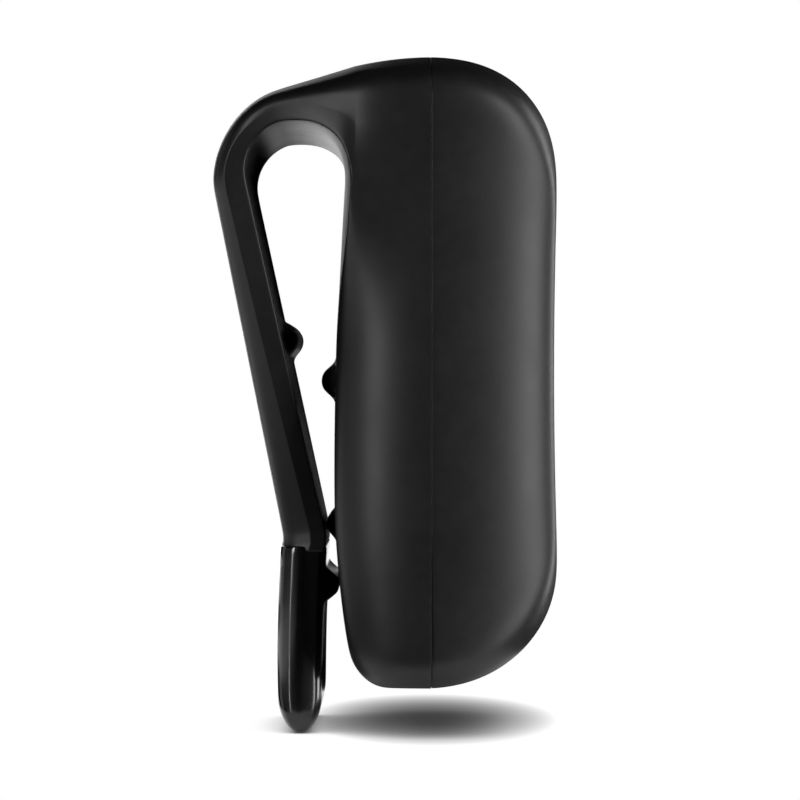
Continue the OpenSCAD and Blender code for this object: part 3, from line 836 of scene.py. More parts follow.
# %% [markdown]
# ### Rings of the clip
# One function places a ring of the arch or the arm. Another places a ring of the root, which at each
# depth is as wide as the housing's sides are there. The ridge moves over the thickness from ring to ring,
# and its row of vertices moves with it.

# %% Rings of the clip


def drawn_in(share, ridge):
    """How far the arm's sides lean in, to each side of the low ridge that runs along them."""
    return inner_lean * max(0.0, ridge - share) + side_lean * max(0.0, share - ridge)


def ridge_shifted(f, ridge):
    """Rows moved so that the ridge's own row lies at that share of the thickness."""
    if f < ridge_row:
        return f * ridge / ridge_row
    return 1 - (1 - f) * (1 - ridge) / (1 - ridge_row)


def bar_place(inner, outer, half, crown=arm_crown, radius=clip_round, swell=0.0, ridge=ridge_row, cut=0.0):
    """Places on one ring of the clip, a bar from its inner to its round outer edge."""
    across_bar = outer - inner
    thick = across_bar.length
    across_bar.normalize()

    def place(number):
        u, f = loop_places[number]
        f = ridge_shifted(f, ridge)
        x, q = rounded(u, 2 * f - 1, half, 0, thick, radius if f > 0.5 else inner_round)
        share = q / thick
        q -= crown * (x / half) ** 2 * share
        x *= 1 - cut * drawn_in(share, ridge) / half
        if f == 0 and abs(x) < grip_half:
            q -= swell
        middle_line = inner + across_bar * q
        return spot(x, middle_line.x, middle_line.y)
    return place


def root_place(inner, outer, t, crown, radius):
    """Places on a ring between the back and the arch; each is as wide as the sides are at its own depth."""
    bar = outer - inner

    def place(number):
        u, f = loop_places[number]
        x, q = rounded(u, 2 * f - 1, half_body, 0, bar.length, radius if f > 0.5 else inner_round)
        q -= crown * (x / half_body) ** 2 * q / bar.length
        middle_line = inner + bar.normalized() * q
        drawn = max(shoulder_share(middle_line.y), easing(1.2 * t))
        half = half_body - narrowing(middle_line.x) * drawn - flex_taper * t * t
        sunk = crown_fall * (1 - t) ** 1.5 * u ** 4
        return spot(x * half / half_body, middle_line.x - sunk, middle_line.y)
    return place


# %% [markdown]
# ### Opening the back
# The clip grows out of the top of the back, so the faces there are taken out. The edges around the gap
# become the first ring, and their vertices are numbered again, by their place on that ring.

# %% Open the back for the clip
loop_places = border(across, arch_rows)
loop_numbers = border(range(columns + 1), range(len(arch_rows)))
first_row = rows - len(arch_rows) + 1
opened = [face for face in bm.faces if all(vert in grid.values() for vert in face.verts)
          and min(j for (i, j), vert in grid.items() if vert in face.verts) >= first_row]
bmesh.ops.delete(bm, geom=opened, context="FACES")
for number, (i, j) in enumerate(loop_numbers):
    grid[(i, j + first_row)][station] = number
loop = [edge for edge in bm.edges if edge.is_boundary]
print("clip loop:", len(loop), "edges")

# %% [markdown]
# ### Over the arch
# The arch is the clip's spring. Its first rings still belong to the housing and narrow from the full width of
# the shoulder; the others turn round the slot in even steps. The faces up to the first of those steps are
# remembered, because the moulding is parted there later.

# %% Over the arch
roof_edge = Vector((rear_at(back_high), back_high))
flex_outer = around(bend_outer, root_turn)
for t in (0.22, 0.45, 0.7):
    inner_edge = around(slot_radius, 180 + (root_turn - 180) * t)
    outer_edge = roof_edge.lerp(flex_outer, t)
    crown = root_crown + (arch_crown - root_crown) * t
    corner = root_round + (clip_round - root_round) * t
    loop = draw_out(bm, station, loop, root_place(inner_edge, outer_edge, t, crown, corner))
bend_steps = 9
arch_slim = 0.35
arch_end_slim = 0.22
flex_half = half_body - narrowing(20) - flex_taper
for step in range(bend_steps + 1):
    turn = root_turn - (root_turn + math.degrees(arm_lean)) * step / bend_steps
    inner_edge = around(slot_radius + arm_thin * step / bend_steps, turn)
    slimmer = arch_slim * math.sin(math.pi * step / bend_steps) + arch_end_slim * easing(step / bend_steps)
    outer_edge = around(bend_outer - slimmer, turn)
    half = flex_half + (arm_half - flex_half) * step / bend_steps
    crown = arch_crown + (arm_crown - arch_crown) * step / bend_steps
    cut = easing((step - 1) / 7)
    ridge = ridge_row + (ridge_top - ridge_row) * cut
    loop = draw_out(bm, station, loop, bar_place(inner_edge, outer_edge, half, crown, ridge=ridge, cut=cut))
    if step == 0:
        housing_faces = set(bm.faces)
print("arch done,", len(bm.faces), "faces")

# %% [markdown]
# ### Down the arm
# The arm leans towards the housing, thickens a little on the way, and straightens in a short bend where the
# tip is pushed on. As on the back, the rings lie close together at the grip rib.

# %% Down the arm
tip_top = 14.2
kink_z = tip_top + 1.6
kink_radius = 8
collar = 0.12
outward = Vector((math.cos(arm_lean), -math.sin(arm_lean)))
downward = Vector((-math.sin(arm_lean), -math.cos(arm_lean)))
arm_top = around(bend_middle, -math.degrees(arm_lean))
arm_length = (arm_top.y - kink_z) / math.cos(arm_lean)
grip_at = (arm_top.y - (bend_z - 17.5)) / math.cos(arm_lean)
kink_middle = arm_top + downward * arm_length + outward * kink_radius
tip_y = kink_middle.x - kink_radius + 0.15


def arm_ring(middle_line, normal, share, swell=0.0, grow=0.0):
    """One ring of the arm, a share of the way down it, grown outwards near its foot."""
    thin = arm_thin - arm_growth * share
    half = arm_half + (tip_width / 2 - arm_half) * share
    inner_edge = middle_line - normal * (clip_thickness / 2 - thin)
    outer_edge = middle_line + normal * (clip_thickness / 2 + grow)
    ridge = ridge_top + (ridge_foot - ridge_top) * share
    return bar_place(inner_edge, outer_edge, half, swell=swell, ridge=ridge, cut=1)


stops = [2.5, 6, 9.5, 12.6] + [grip_at + d for d in (-2.2, -1.65, -1.2, -0.6, 0, 0.6, 1.2, 1.65, 2.2)]
stops += [20.5, 24, 28, 32, arm_length]
for along in stops:
    swell = bump(along - grip_at, 1.8, 0.15)
    place = arm_ring(arm_top + downward * along, outward, along / arm_length, swell)
    loop = draw_out(bm, station, loop, place)
for share in (1 / 3, 2 / 3, 1):
    angle = -arm_lean * (1 - share)
    normal = Vector((math.cos(angle), math.sin(angle)))
    place = arm_ring(kink_middle - normal * kink_radius, normal, 1, 0, collar * share)
    loop = draw_out(bm, station, loop, place)
arm_foot = Vector((tip_y, tip_top))
straight = Vector((1, 0))
for drop in (0.0, -0.5, -0.6):
    loop = draw_out(bm, station, loop, arm_ring(arm_foot + Vector((0, drop)), straight, 1, 0, collar))
bmesh.ops.edgeloop_fill(bm, edges=loop)
for face in bm.faces:
    face.material_index = 0 if face in housing_faces else clip_mark
print("arm length, mm:", round(arm_length, 2), "cage faces:", len(bm.faces))

# %% [markdown]
# ## Parting the moulding
# The arm bends at the arch when the clip is pulled open. So the smooth mesh is parted at one ring of the
# arch: the cover stays on the housing, and the clip becomes a piece of its own. Both keep the shading that
# the joined surface had at the cut, so no line shows.

# %% Part and cap


def keep_part(bm, mark):
    """A copy of the mesh with only the faces of that mark, and its cut capped."""
    part = bm.copy()
    other = [face for face in part.faces if face.material_index != mark]
    bmesh.ops.delete(part, geom=other, context="FACES")
    open_edges = [edge for edge in part.edges if edge.is_boundary]
    bmesh.ops.holes_fill(part, edges=open_edges, sides=0)
    bmesh.ops.recalc_face_normals(part, faces=part.faces)
    return part


def cut_normals(bm):
    """The joined surface's normals at the cut, by place."""
    bm.normal_update()
    found = {}
    for vert in bm.verts:
        if len({face.material_index for face in vert.link_faces}) > 1:
            found[tuple(round(c, 7) for c in vert.co)] = vert.normal.copy()
    return found


def match_shading(obj, found):
    """Give the corners at the cut the joined surface's normals."""
    mesh = obj.data
    wanted = [Vector((0, 0, 0)) for _ in mesh.loops]
    for polygon in mesh.polygons:
        if len(polygon.vertices) < 9:
            for index in polygon.loop_indices:
                co = mesh.vertices[mesh.loops[index].vertex_index].co
                wanted[index] = found.get(tuple(round(c, 7) for c in co), Vector((0, 0, 0)))
    mesh.normals_split_custom_set(wanted)


moulding = smoothed(bm)
at_cut = cut_normals(moulding)
cover_part = keep_part(moulding, 0)
clip_part = keep_part(moulding, clip_mark)
moulding.free()
print("places matched along the cut:", len(at_cut))

# %% [markdown]
# ### Screw holes
# The cover is drilled from below for its two screws. Both drills are one cutter: they stand apart, so a
# single Boolean can cut both holes. A cutter whose own pieces ran through each other could be misread.

# %% Drill the cover
screw_x = 10
screw_y = 2.8
bore_radius = 1.75
drill = bmesh.new()
for side in (-1, 1):
    bmesh.ops.create_cone(drill, cap_ends=True, segments=48, radius1=bore_radius * MM,
                          radius2=bore_radius * MM, depth=6 * MM,
                          matrix=Matrix.Translation(spot(side * screw_x, screw_y, 0)))
cover_part = carved(cover_part, drill)
rear_cover = settle("rear_cover_shell", cover_part, soft_touch, "housing", "shell_plastic", "rear_cover")
match_shading(rear_cover, at_cut)
clip_arm = settle("belt_clip_arm", clip_part, soft_touch, None, "shell_plastic", "belt_clip")
match_shading(clip_arm, at_cut)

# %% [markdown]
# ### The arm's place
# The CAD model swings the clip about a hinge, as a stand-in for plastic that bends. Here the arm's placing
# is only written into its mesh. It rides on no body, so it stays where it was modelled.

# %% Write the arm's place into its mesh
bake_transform(clip_arm)

# %% [markdown]
# ## Clip tip
# A separate gloss cap is pushed on to the end of the arm, and its tooth closes the slot under the belt. It
# is one stack of rounded bars from its open end down to its rounded foot, with a swell on the inner side. A
# stack of rings keeps the long edges true, which matters on a piece that mirrors everything.

# %% Stack the tip
tip_length = 19.1
tip_drop = 4.9
tip_thick = 4.95
tip_back = 0.2
tip_bow = 0.4
tip_round = 4.3
tooth_z = tip_top - 4
tooth_half = 10
bm, station, loop = start_ring(len(loop_places))


def tip_middle(z):
    """How far behind the seam the middle of the slightly bowed tip stands at that height."""
    return tip_y - tip_back + tip_bow * math.sin(0.75 * math.pi * (tip_top - z) / tip_length)


def tip_place(z, side=0.0, thick=0.0, swell=0.0):
    """Places on the tip's ring at that height, drawn in at its sides and over its thickness."""
    middle_line = tip_middle(z)
    deep = tip_thick - thick
    radius = deep * 0.47

    def place(number):
        u, f = loop_places[number]
        x, q = rounded(u, 2 * f - 1, tip_width / 2 - side, -deep / 2, deep / 2, radius, arm_crown)
        if f == 0 and abs(x) < tooth_half:
            q -= swell
        return spot(x, middle_line + q, z)
    return place


reach = tip_middle(tooth_z) - tip_thick / 2 - rear_at(tooth_z) - 0.15
first = tip_place(tip_top, 1.5, 1.5)
for vert in bm.verts:
    vert.co = first(vert[station])
bmesh.ops.edgeloop_fill(bm, edges=loop)
levels = [(tip_top, 0.3, 0.4, 0), (tip_top - 0.03, 0.1, 0.12, 0), (tip_top - 0.14, 0.01, 0.02, 0)]
levels += [(tip_top - 0.9, 0, -0.1, 0)]
tooth = [(2.1, 0), (1.75, 0.06), (1.2, 0.5), (0.75, 0.93), (0.25, 1)]
tooth += [(-0.35, 1), (-0.85, 0.94), (-1.3, 0.6), (-1.8, 0.12), (-2.15, 0)]
levels += [(tooth_z + rise, 0, 0, share * reach) for rise, share in tooth]
levels += [(5, 0, 0, 0), (2.5, 0, 0.03, 0)]
for turn in range(0, 90, 12):
    fade = 1 - math.cos(math.radians(turn))
    height = tip_round * (1 - math.sin(math.radians(turn))) - tip_drop
    levels.append((height, 3 * fade ** 3, 0.1 + (tip_thick - 0.7) * fade, 0))
for level_values in levels:
    loop = draw_out(bm, station, loop, tip_place(*level_values))
bmesh.ops.edgeloop_fill(bm, edges=loop)
settle("clip_tip_cap", smoothed(bm), polished, "clip", "tip_plastic", "clip_tip")
print("tooth reach, mm:", round(reach, 2))

# %% [markdown]
# ## Front shell
# The front half starts at the edge of the sunk panel and grows outwards: up the panel's wall, over the rim,
# back along the sides to the seam, and in along the inner wall. After subdivision the two open ends are
# filled flat, and the window seat, the key holes and the port pocket are carved through.

# %% Slices of the front
face_half = 16
face_low = 11.7
face_high = 52.1
face_middle = (face_low + face_high) / 2
dish = 0.4
panel_y = -11.8
inner_y = -9.9
panel_half = 14.8
panel_tall = 19.0
panel_radius = 3.8
front_places = border(across, across)


def dish_at(z):
    """How far the face is dished at that height."""
    return dish * max(0.0, 1 - ((z - face_middle) / (face_high - face_middle)) ** 2)


def side_half(s):
    """Half the width of the slice s of the front half."""
    return face_half + (half_body - face_half) * falling(s, 1.8) - 0.4 * s * (1 - s)


def front_slice(u, v, s, inset=0.0):
    """A place on the slice s of the front half: nothing at the seam, one at the face."""
    low = face_low * (1 - falling(s, 2)) + inset
    high = face_high + (body_height - face_high) * falling(s, 2.3) - inset
    height = low + (v + 1) / 2 * (high - low)
    half = side_half(s) - inset - belly(height)
    radius = max(0.8, edge_round(v) + (5 - edge_round(v)) * s * s - inset)
    return rounded(u, v, half, low, high, radius, roof_crown + (1.7 - roof_crown) * s * s)


def front_place(s, inset=0.0, depth=None):
    """Places on a slice of the front's outside."""
    def place(number):
        u, v = front_places[number]
        x, z = front_slice(u, v, s, inset)
        return spot(x, (dish_at(z) - front_depth) * s if depth is None else depth, z)
    return place


def panel_place(grow, depth=None):
    """Places on the sunk panel's outline, grown by that much, at a depth or on the rim."""
    def place(number):
        u, v = front_places[number]
        x, z = rounded(u, v, panel_half + grow, face_middle - panel_tall - grow,
                       face_middle + panel_tall + grow, panel_radius + grow)
        return spot(x, dish_at(z) - front_depth if depth is None else depth, z)
    return place


def front_inner(s):
    """Places on a slice of the front's inside."""
    def place(number):
        u, v = front_places[number]
        x, z = front_slice(u, v, s, wall)
        return spot(x, inner_y * s, z)
    return place


print("sunk panel, mm:", 2 * panel_half, "by", 2 * panel_tall)

# %% [markdown]
# ### Growing the front
# Rings lie close together where the surface turns sharply: at the panel's foot, on the rim and at the
# seam. Subdivision rounds less where rings are close, so these edges stay crisp while the sides stay
# soft.

# %% Grow the front shell
bm, station, ring = start_ring(len(front_places))
first = panel_place(-0.35, panel_y)
for vert in bm.verts:
    vert.co = first(vert[station])
for place in (panel_place(-0.12, panel_y), panel_place(0, panel_y - 0.1), panel_place(0.03, panel_y - 0.35),
              panel_place(0.12), panel_place(0.35)):
    ring = draw_out(bm, station, ring, place)
for turn in (90, 84, 77, 69, 60, 50, 40, 30, 20, 10):
    ring = draw_out(bm, station, ring, front_place(math.sin(math.radians(turn))))
for depth, inset in ((-0.5, 0), (-0.2, 0), (-0.028, 0.003), (-0.006, 0.026), (-0.006, 1.5), (-0.1, 1.75)):
    ring = draw_out(bm, station, ring, front_place(0, inset, depth))
for s in (0.1, 0.35, 0.6, 0.8, 0.93, 1):
    ring = draw_out(bm, station, ring, front_inner(s))
shell = smoothed(bm)
bmesh.ops.holes_fill(shell, edges=[edge for edge in shell.edges if edge.is_boundary], sides=0)
bmesh.ops.recalc_face_normals(shell, faces=shell.faces)
print("front shell before carving:", len(shell.faces), "faces")

# %% [markdown]
# ### Window seat
# The window is glued into a shallow seat, with an opening behind it for the display. Both are rounded slabs,
# carved out of the smooth shell: such sharp corners in the cage itself would pull at its soft sides.

# %% Carve the window seat
window_low, window_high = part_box("display_window")
window_z = (window_low.z + window_high.z) / 2 / MM - base_z
window_half = window_high.x / MM
window_tall = (window_high.z - window_low.z) / 2 / MM
window_round = 2.4
window_places = border(across, across)


def slab(half, tall, radius, z, rings):
    """A closed rounded slab through the rings of depth and growth."""
    bm, station, loop = start_ring(len(window_places))

    def ring_place(grow, depth):
        def place(number):
            u, v = window_places[number]
            x, height = rounded(u, v, half + grow, z - tall - grow, z + tall + grow, radius + grow)
            return spot(x, depth, height)
        return place

    first = ring_place(*rings[0])
    for vert in bm.verts:
        vert.co = first(vert[station])
    bmesh.ops.edgeloop_fill(bm, edges=loop)
    for growth, depth in rings[1:]:
        loop = draw_out(bm, station, loop, ring_place(growth, depth))
    bmesh.ops.edgeloop_fill(bm, edges=loop)
    bmesh.ops.recalc_face_normals(bm, faces=bm.faces)
    return bm


seat = slab(window_half, window_tall, window_round, window_z,
            [(0.1, panel_y + 1.3), (0.1, panel_y + 0.12), (0.24, panel_y - 0.02), (0.24, panel_y - 1)])
sight = slab(window_half - 1.6, window_tall - 1.6, 1.5, window_z, [(0, panel_y - 1), (0, inner_y + 1)])
shell = carved(carved(shell, seat), sight)
print("window seat carved, faces:", len(shell.faces))

# %% [markdown]
# ### Key holes
# Two keys are discs, and two are the halves of a larger disc. The outline of a key, a little larger, also
# cuts the hole that it moves in, so both always fit. Two passes of averaging soften the corners of the half
# discs.

# %% Key outlines
key_z = (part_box("power_key")[0].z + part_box("power_key")[1].z) / 2 / MM - base_z
key_pitch = 9.9
round_key = 3.2
split_key = 5.1
split_bar = 0.5
key_gap = 0.15


def key_outline(radius, keep, bar):
    """Points of a disc, or of the half of it above or below a bar with its corners softened."""
    if not keep:
        turns = [2 * math.pi * number / 64 for number in range(64)]
        return [(radius * math.cos(turn), radius * math.sin(turn)) for turn in turns]
    first = math.asin(bar / radius)
    turns = [first + (math.pi - 2 * first) * number / 44 for number in range(45)]
    points = [(radius * math.cos(turn), radius * math.sin(turn)) for turn in turns]
    reach = points[0][0]
    points += [(-reach + 2 * reach * number / 20, bar) for number in range(1, 20)]
    for _ in range(2):
        ahead = points[1:] + points[:1]
        behind = points[-1:] + points[:-1]
        points = [((a[0] + 2 * b[0] + c[0]) / 4, (a[1] + 2 * b[1] + c[1]) / 4)
                  for a, b, c in zip(behind, points, ahead)]
    return [(x, keep * z) for x, z in points]


def key_solid(x, radius, keep, rings):
    """A closed solid through rings of inset and depth, all with the key's outline."""
    def ring_place(inset, depth):
        points = key_outline(radius - inset, keep, split_bar + inset)

        def place(number):
            return spot(x + points[number][0], depth, key_z + points[number][1])
        return place

    bm, station, loop = start_ring(64)
    first = ring_place(*rings[0])
    for vert in bm.verts:
        vert.co = first(vert[station])
    bmesh.ops.edgeloop_fill(bm, edges=loop)
    for ring in rings[1:]:
        loop = draw_out(bm, station, loop, ring_place(*ring))
    bmesh.ops.edgeloop_fill(bm, edges=loop)
    bmesh.ops.recalc_face_normals(bm, faces=bm.faces)
    return bm


print("outline of a key has", len(key_outline(round_key, 0, split_bar)), "points")

# %% [markdown]
# ### Cutting the holes
# Each hole goes right through the front wall and has a small chamfer at its mouth, which catches a fine
# line of light around the key.

# %% Cut the key holes
key_table = [("power", -key_pitch, round_key, 0), ("up", 0, split_key, 1), ("down", 0, split_key, -1),
             ("mark", key_pitch, round_key, 0)]
for name, x, radius, keep in key_table:
    hole = key_solid(x, radius, keep, [(-key_gap - 0.12, panel_y - 1), (-key_gap - 0.12, panel_y - 0.02),
                                       (-key_gap, panel_y + 0.1), (-key_gap, panel_y + 3)])
    shell = carved(shell, hole)
print("key holes carved, faces:", len(shell.faces))

# %% [markdown]
# ## Port cover
# A rubber flap closes the charging socket on the far side. It follows the housing's curve, so a grid is laid
# on that curve and given a thickness. The same patch, a little larger, cuts its pocket, and so the gap around
# the flap is even. Its corners are nearly square at the hinge end, which has to turn in the pocket.

# %% Lay the flap on the side
cover_low, cover_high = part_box("port_cover")
flap_front = cover_low.y / MM - seam_y
flap_back = cover_high.y / MM - seam_y
flap_low = cover_low.z / MM - base_z
flap_high = cover_high.z / MM - base_z
flap_thick = 1.9
hinge_corner = 0.3
free_corner = 0.9


def side_x(y):
    """How far out the housing's side stands at that depth, on its straight part."""
    return side_half(min(1.0, abs(y) / (front_depth - dish)))


def side_patch(grow, outside, thick, columns=12, rows=24):
    """A closed patch of the side's curve over the flap's outline, grown by that much."""
    bm = bmesh.new()
    bmesh.ops.create_grid(bm, x_segments=columns, y_segments=rows, size=1)
    middle_y = (flap_front + flap_back) / 2
    for vert in bm.verts:
        corner = hinge_corner if vert.co.y > 0 else free_corner
        y, z = rounded(vert.co.x, vert.co.y, (flap_back - flap_front) / 2 + grow, flap_low - grow,
                       flap_high + grow, corner + grow)
        y += middle_y
        vert.co = spot(side_x(y) + outside, y, z)
    made = bmesh.ops.extrude_face_region(bm, geom=bm.faces[:], use_keep_orig=True)["geom"]
    for item in made:
        if isinstance(item, bmesh.types.BMVert):
            item.co.x = (half_body - thick) * MM
    bmesh.ops.recalc_face_normals(bm, faces=bm.faces)
    return bm


print("flap, mm:", round(flap_back - flap_front, 2), "by", round(flap_high - flap_low, 2))

# %% [markdown]
# ### Pocket
# The wall is too thin for a pocket, so a block is joined on inside first. Then the grown patch is cut
# out, and a slot through the block leads on to the socket.

# %% Carve the pocket
block = bmesh.new()
bmesh.ops.create_cube(block, size=1)
bmesh.ops.scale(block, verts=block.verts, vec=Vector((2.6, 6.2, 14)) * MM)
bmesh.ops.translate(block, verts=block.verts, vec=spot(half_body - 3.1, -3.2, (flap_low + flap_high) / 2))
shell = carved(shell, block, "UNION")
shell = carved(shell, side_patch(0.14, 0.4, flap_thick + 0.15))
socket_low, socket_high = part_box("usb_socket")
socket_middle = (socket_low + socket_high) / 2
mouth = bmesh.new()
bmesh.ops.create_cube(mouth, size=1)
bmesh.ops.scale(mouth, verts=mouth.verts, vec=(6 * MM, 2.4 * MM, 7.2 * MM))
mouth_place = Vector(((half_body - 4) * MM, socket_middle.y, socket_middle.z))
bmesh.ops.translate(mouth, verts=mouth.verts, vec=mouth_place)
shell = carved(shell, mouth)
settle("front_shell_skin", shell, soft_touch, "housing", "shell_plastic", "front_shell", sharp=24)

# %% [markdown]
# ### Flap
# The flap swings about a line near its upper end, so that end is rounded about the joint's own place. A plug
# on its back fits the socket's mouth, and a small lip at its lower end is for a fingernail.

# %% Finish the flap
flap_middle = (flap_front + flap_back) / 2
hinge = Vector(next(joint for joint in frame["joints"] if joint["name"] == "cover_swing")["pos_m"])
barrel = bmesh.new()
barrel_radius = flap_thick / 2 * MM
barrel_place = Matrix.Translation(hinge) @ Matrix.Rotation(math.radians(90), 4, "X")
bmesh.ops.create_cone(barrel, cap_ends=True, segments=48, radius1=barrel_radius, radius2=barrel_radius,
                      depth=12 * MM, matrix=barrel_place)
for vert in barrel.verts:
    if vert.co.z < hinge.z - hair:
        vert.co.z -= (flap_high - flap_low) * MM
flap = carved(side_patch(0, -0.02, flap_thick), barrel, "INTERSECT")
edges = [edge for edge in flap.edges if edge.calc_face_angle(0) > 1]
bmesh.ops.bevel(flap, geom=edges, offset=0.25 * MM, affect="EDGES", segments=3, profile=0.5, material=-1)
plug = bmesh.new()
bmesh.ops.create_cube(plug, size=1)
bmesh.ops.scale(plug, verts=plug.verts, vec=Vector((1.1, 2.1, 6.9)) * MM)
bmesh.ops.bevel(plug, geom=plug.edges[:], offset=0.3 * MM, affect="EDGES", segments=3, profile=0.5,
                material=-1)
plug_place = Vector(((half_body - flap_thick - 0.4) * MM, socket_middle.y, socket_middle.z))
bmesh.ops.translate(plug, verts=plug.verts, vec=plug_place)
flap = carved(flap, plug, "UNION")
lip = bmesh.new()
bmesh.ops.create_uvsphere(lip, u_segments=32, v_segments=16, radius=0.5 * MM)
bmesh.ops.scale(lip, verts=lip.verts, vec=(0.9, 3.2, 1.1))
bmesh.ops.translate(lip, verts=lip.verts, vec=spot(side_x(flap_middle) - 0.12, flap_middle, flap_low + 1.3))
flap = carved(flap, lip, "UNION")
settle("port_cover_flap", flap, seal_rubber, "cover", "seal_rubber", "port_cover")

# %% [markdown]
# ## Keys
# The keys are rubber caps that stand just proud of the panel. Each starts as the disc that its hole was cut
# from, is drawn back to its flange, and gets a rounded edge and a slight dome. A small raised shape on each,
# a ring, two arrowheads and a dot, tells a thumb which key it is on.

# %% Raised shapes for the thumb


def ring_sign(x, z, y):
    """A raised ring, turned from one small circle."""
    bm = bmesh.new()
    bmesh.ops.create_circle(bm, segments=12, radius=0.24 * MM)
    bmesh.ops.translate(bm, verts=bm.verts, vec=(1.25 * MM, 0, 0))
    bmesh.ops.rotate(bm, verts=bm.verts, matrix=Matrix.Rotation(math.radians(90), 3, "X"))
    bmesh.ops.spin(bm, geom=bm.verts[:] + bm.edges[:], cent=(0, 0, 0), axis=(0, 0, 1), angle=2 * math.pi,
                   steps=48, use_merge=True)
    bmesh.ops.rotate(bm, verts=bm.verts, matrix=Matrix.Rotation(math.radians(90), 3, "X"))
    bmesh.ops.translate(bm, verts=bm.verts, vec=spot(x, y, z))
    return bm


def dot_sign(x, z, y):
    """A raised dot, a flattened ball."""
    bm = bmesh.new()
    bmesh.ops.create_uvsphere(bm, u_segments=32, v_segments=16, radius=0.85 * MM)
    bmesh.ops.scale(bm, verts=bm.verts, vec=(1, 0.3, 1))
    bmesh.ops.translate(bm, verts=bm.verts, vec=spot(x, y, z))
    return bm


def arrow_sign(x, z, y, way):
    """A raised arrowhead that points up or down: a bar bent in its middle."""
    bm = bmesh.new()
    bmesh.ops.create_cube(bm, size=1)
    bmesh.ops.scale(bm, verts=bm.verts, vec=Vector((3.4, 0.5, 0.5)) * MM)
    across_edges = [edge for edge in bm.edges if abs(edge.verts[0].co.x - edge.verts[1].co.x) > MM]
    bmesh.ops.subdivide_edges(bm, edges=across_edges, cuts=1)
    for vert in bm.verts:
        vert.co.z += way * (0.5 - abs(vert.co.x) / (1.7 * MM)) * 0.9 * MM
    bmesh.ops.bevel(bm, geom=bm.edges[:], offset=0.1 * MM, affect="EDGES", segments=2, profile=0.5,
                    material=-1)
    bmesh.ops.translate(bm, verts=bm.verts, vec=spot(x, y, z))
    return bm


cap_y = panel_y - 0.35
dome_y = cap_y - 0.18
arrow_rise = 2.8
signs = {
    "power": ring_sign(-key_pitch, key_z, dome_y),
    "mark": dot_sign(key_pitch, key_z, dome_y),
    "up": arrow_sign(0, key_z + arrow_rise, dome_y - 0.05, 1),
    "down": arrow_sign(0, key_z - arrow_rise, dome_y - 0.05, -1),
}
print("raised shapes:", sorted(signs))

# %% [markdown]
# ### Key caps
# A cap is its outline drawn through rings of inset and depth: straight sides, a rounded edge and a low dome.
# The raised shape is joined on with a Boolean, so that each key is one closed mesh, as it comes from its
# mould.

# %% Key caps
cap_rings = [(0, cap_y + 2.6), (0, cap_y + 0.32), (0.03, cap_y + 0.16), (0.1, cap_y + 0.05), (0.26, cap_y),
             (0.6, cap_y - 0.06), (1.1, cap_y - 0.12), (1.7, cap_y - 0.16), (1.9, cap_y - 0.165)]
for name, x, radius, keep in key_table:
    cap = carved(key_solid(x, radius, keep, cap_rings), signs[name], "UNION")
    settle(name + "_key_cap", cap, key_rubber, name + "_button", "key_rubber", name + "_key")

# %% [markdown]
# ## Window
# The window is one hard clear sheet with a black border printed on its back. Both are one material: a mask on
# Object coordinates is one inside the clear rectangle. There most light goes straight through, and a share
# that grows towards the edge of sight is mirrored; outside it the sheet is glossy black.

# %% Window material


def box_mask(material, centre, half):
    """One inside a rectangle seen from the front, nothing outside it."""
    place = add_node(material, "ShaderNodeTexCoord")
    fit = add_node(material, "ShaderNodeMapping")
    fit.inputs["Location"].default_value = (-centre[0] / half[0], 0, -centre[1] / half[1])
    fit.inputs["Scale"].default_value = (1 / half[0], 0, 1 / half[1])
    away = add_node(material, "ShaderNodeVectorMath", operation="ABSOLUTE")
    parts = add_node(material, "ShaderNodeSeparateXYZ")
    largest = add_node(material, "ShaderNodeMath", operation="MAXIMUM")
    inside = add_node(material, "ShaderNodeMath", operation="LESS_THAN")
    inside.inputs[1].default_value = 1
    join(material, place.outputs["Object"], fit.inputs["Vector"])
    join(material, fit.outputs["Vector"], away.inputs[0])
    join(material, away.outputs["Vector"], parts.inputs["Vector"])
    join(material, parts.outputs["X"], largest.inputs[0])
    join(material, parts.outputs["Z"], largest.inputs[1])
    join(material, largest.outputs[0], inside.inputs[0])
    return inside.outputs[0]


def window_finish(centre, half):
    """Hard clear sheet with a black printed border."""
    material, shader = start_finish("printed_window", specular=0.5)
    tint(material, shader, noise(material, 6, 2), (0.005, 0.005, 0.006), (0.008, 0.008, 0.009))
    gloss(material, shader, noise(material, 4, 4), 0.05, 0.1)
    clear = add_node(material, "ShaderNodeBsdfTransparent")
    clear.inputs["Color"].default_value = (0.82, 0.84, 0.83, 1)
    mirror = add_node(material, "ShaderNodeBsdfGlossy")
    mirror.inputs["Roughness"].default_value = 0.1
    facing = add_node(material, "ShaderNodeLayerWeight")
    steep = add_node(material, "ShaderNodeMath", operation="POWER")
    steep.inputs[1].default_value = 5
    join(material, facing.outputs["Facing"], steep.inputs[0])
    share = add_node(material, "ShaderNodeMapRange")
    share.inputs["To Min"].default_value = 0.035
    join(material, steep.outputs[0], share.inputs["Value"])
    sheet_mix = add_node(material, "ShaderNodeMixShader")
    join(material, share.outputs["Result"], sheet_mix.inputs["Fac"])
    join(material, clear.outputs[0], sheet_mix.inputs[1])
    join(material, mirror.outputs[0], sheet_mix.inputs[2])
    whole = add_node(material, "ShaderNodeMixShader")
    join(material, box_mask(material, centre, half), whole.inputs["Fac"])
    join(material, shader.outputs[0], whole.inputs[1])
    join(material, sheet_mix.outputs[0], whole.inputs[2])
    join(material, whole.outputs[0], material.node_tree.nodes["Material Output"].inputs["Surface"])
    return material


print("window, mm:", round(2 * window_half, 2), "by", round(2 * window_tall, 2))

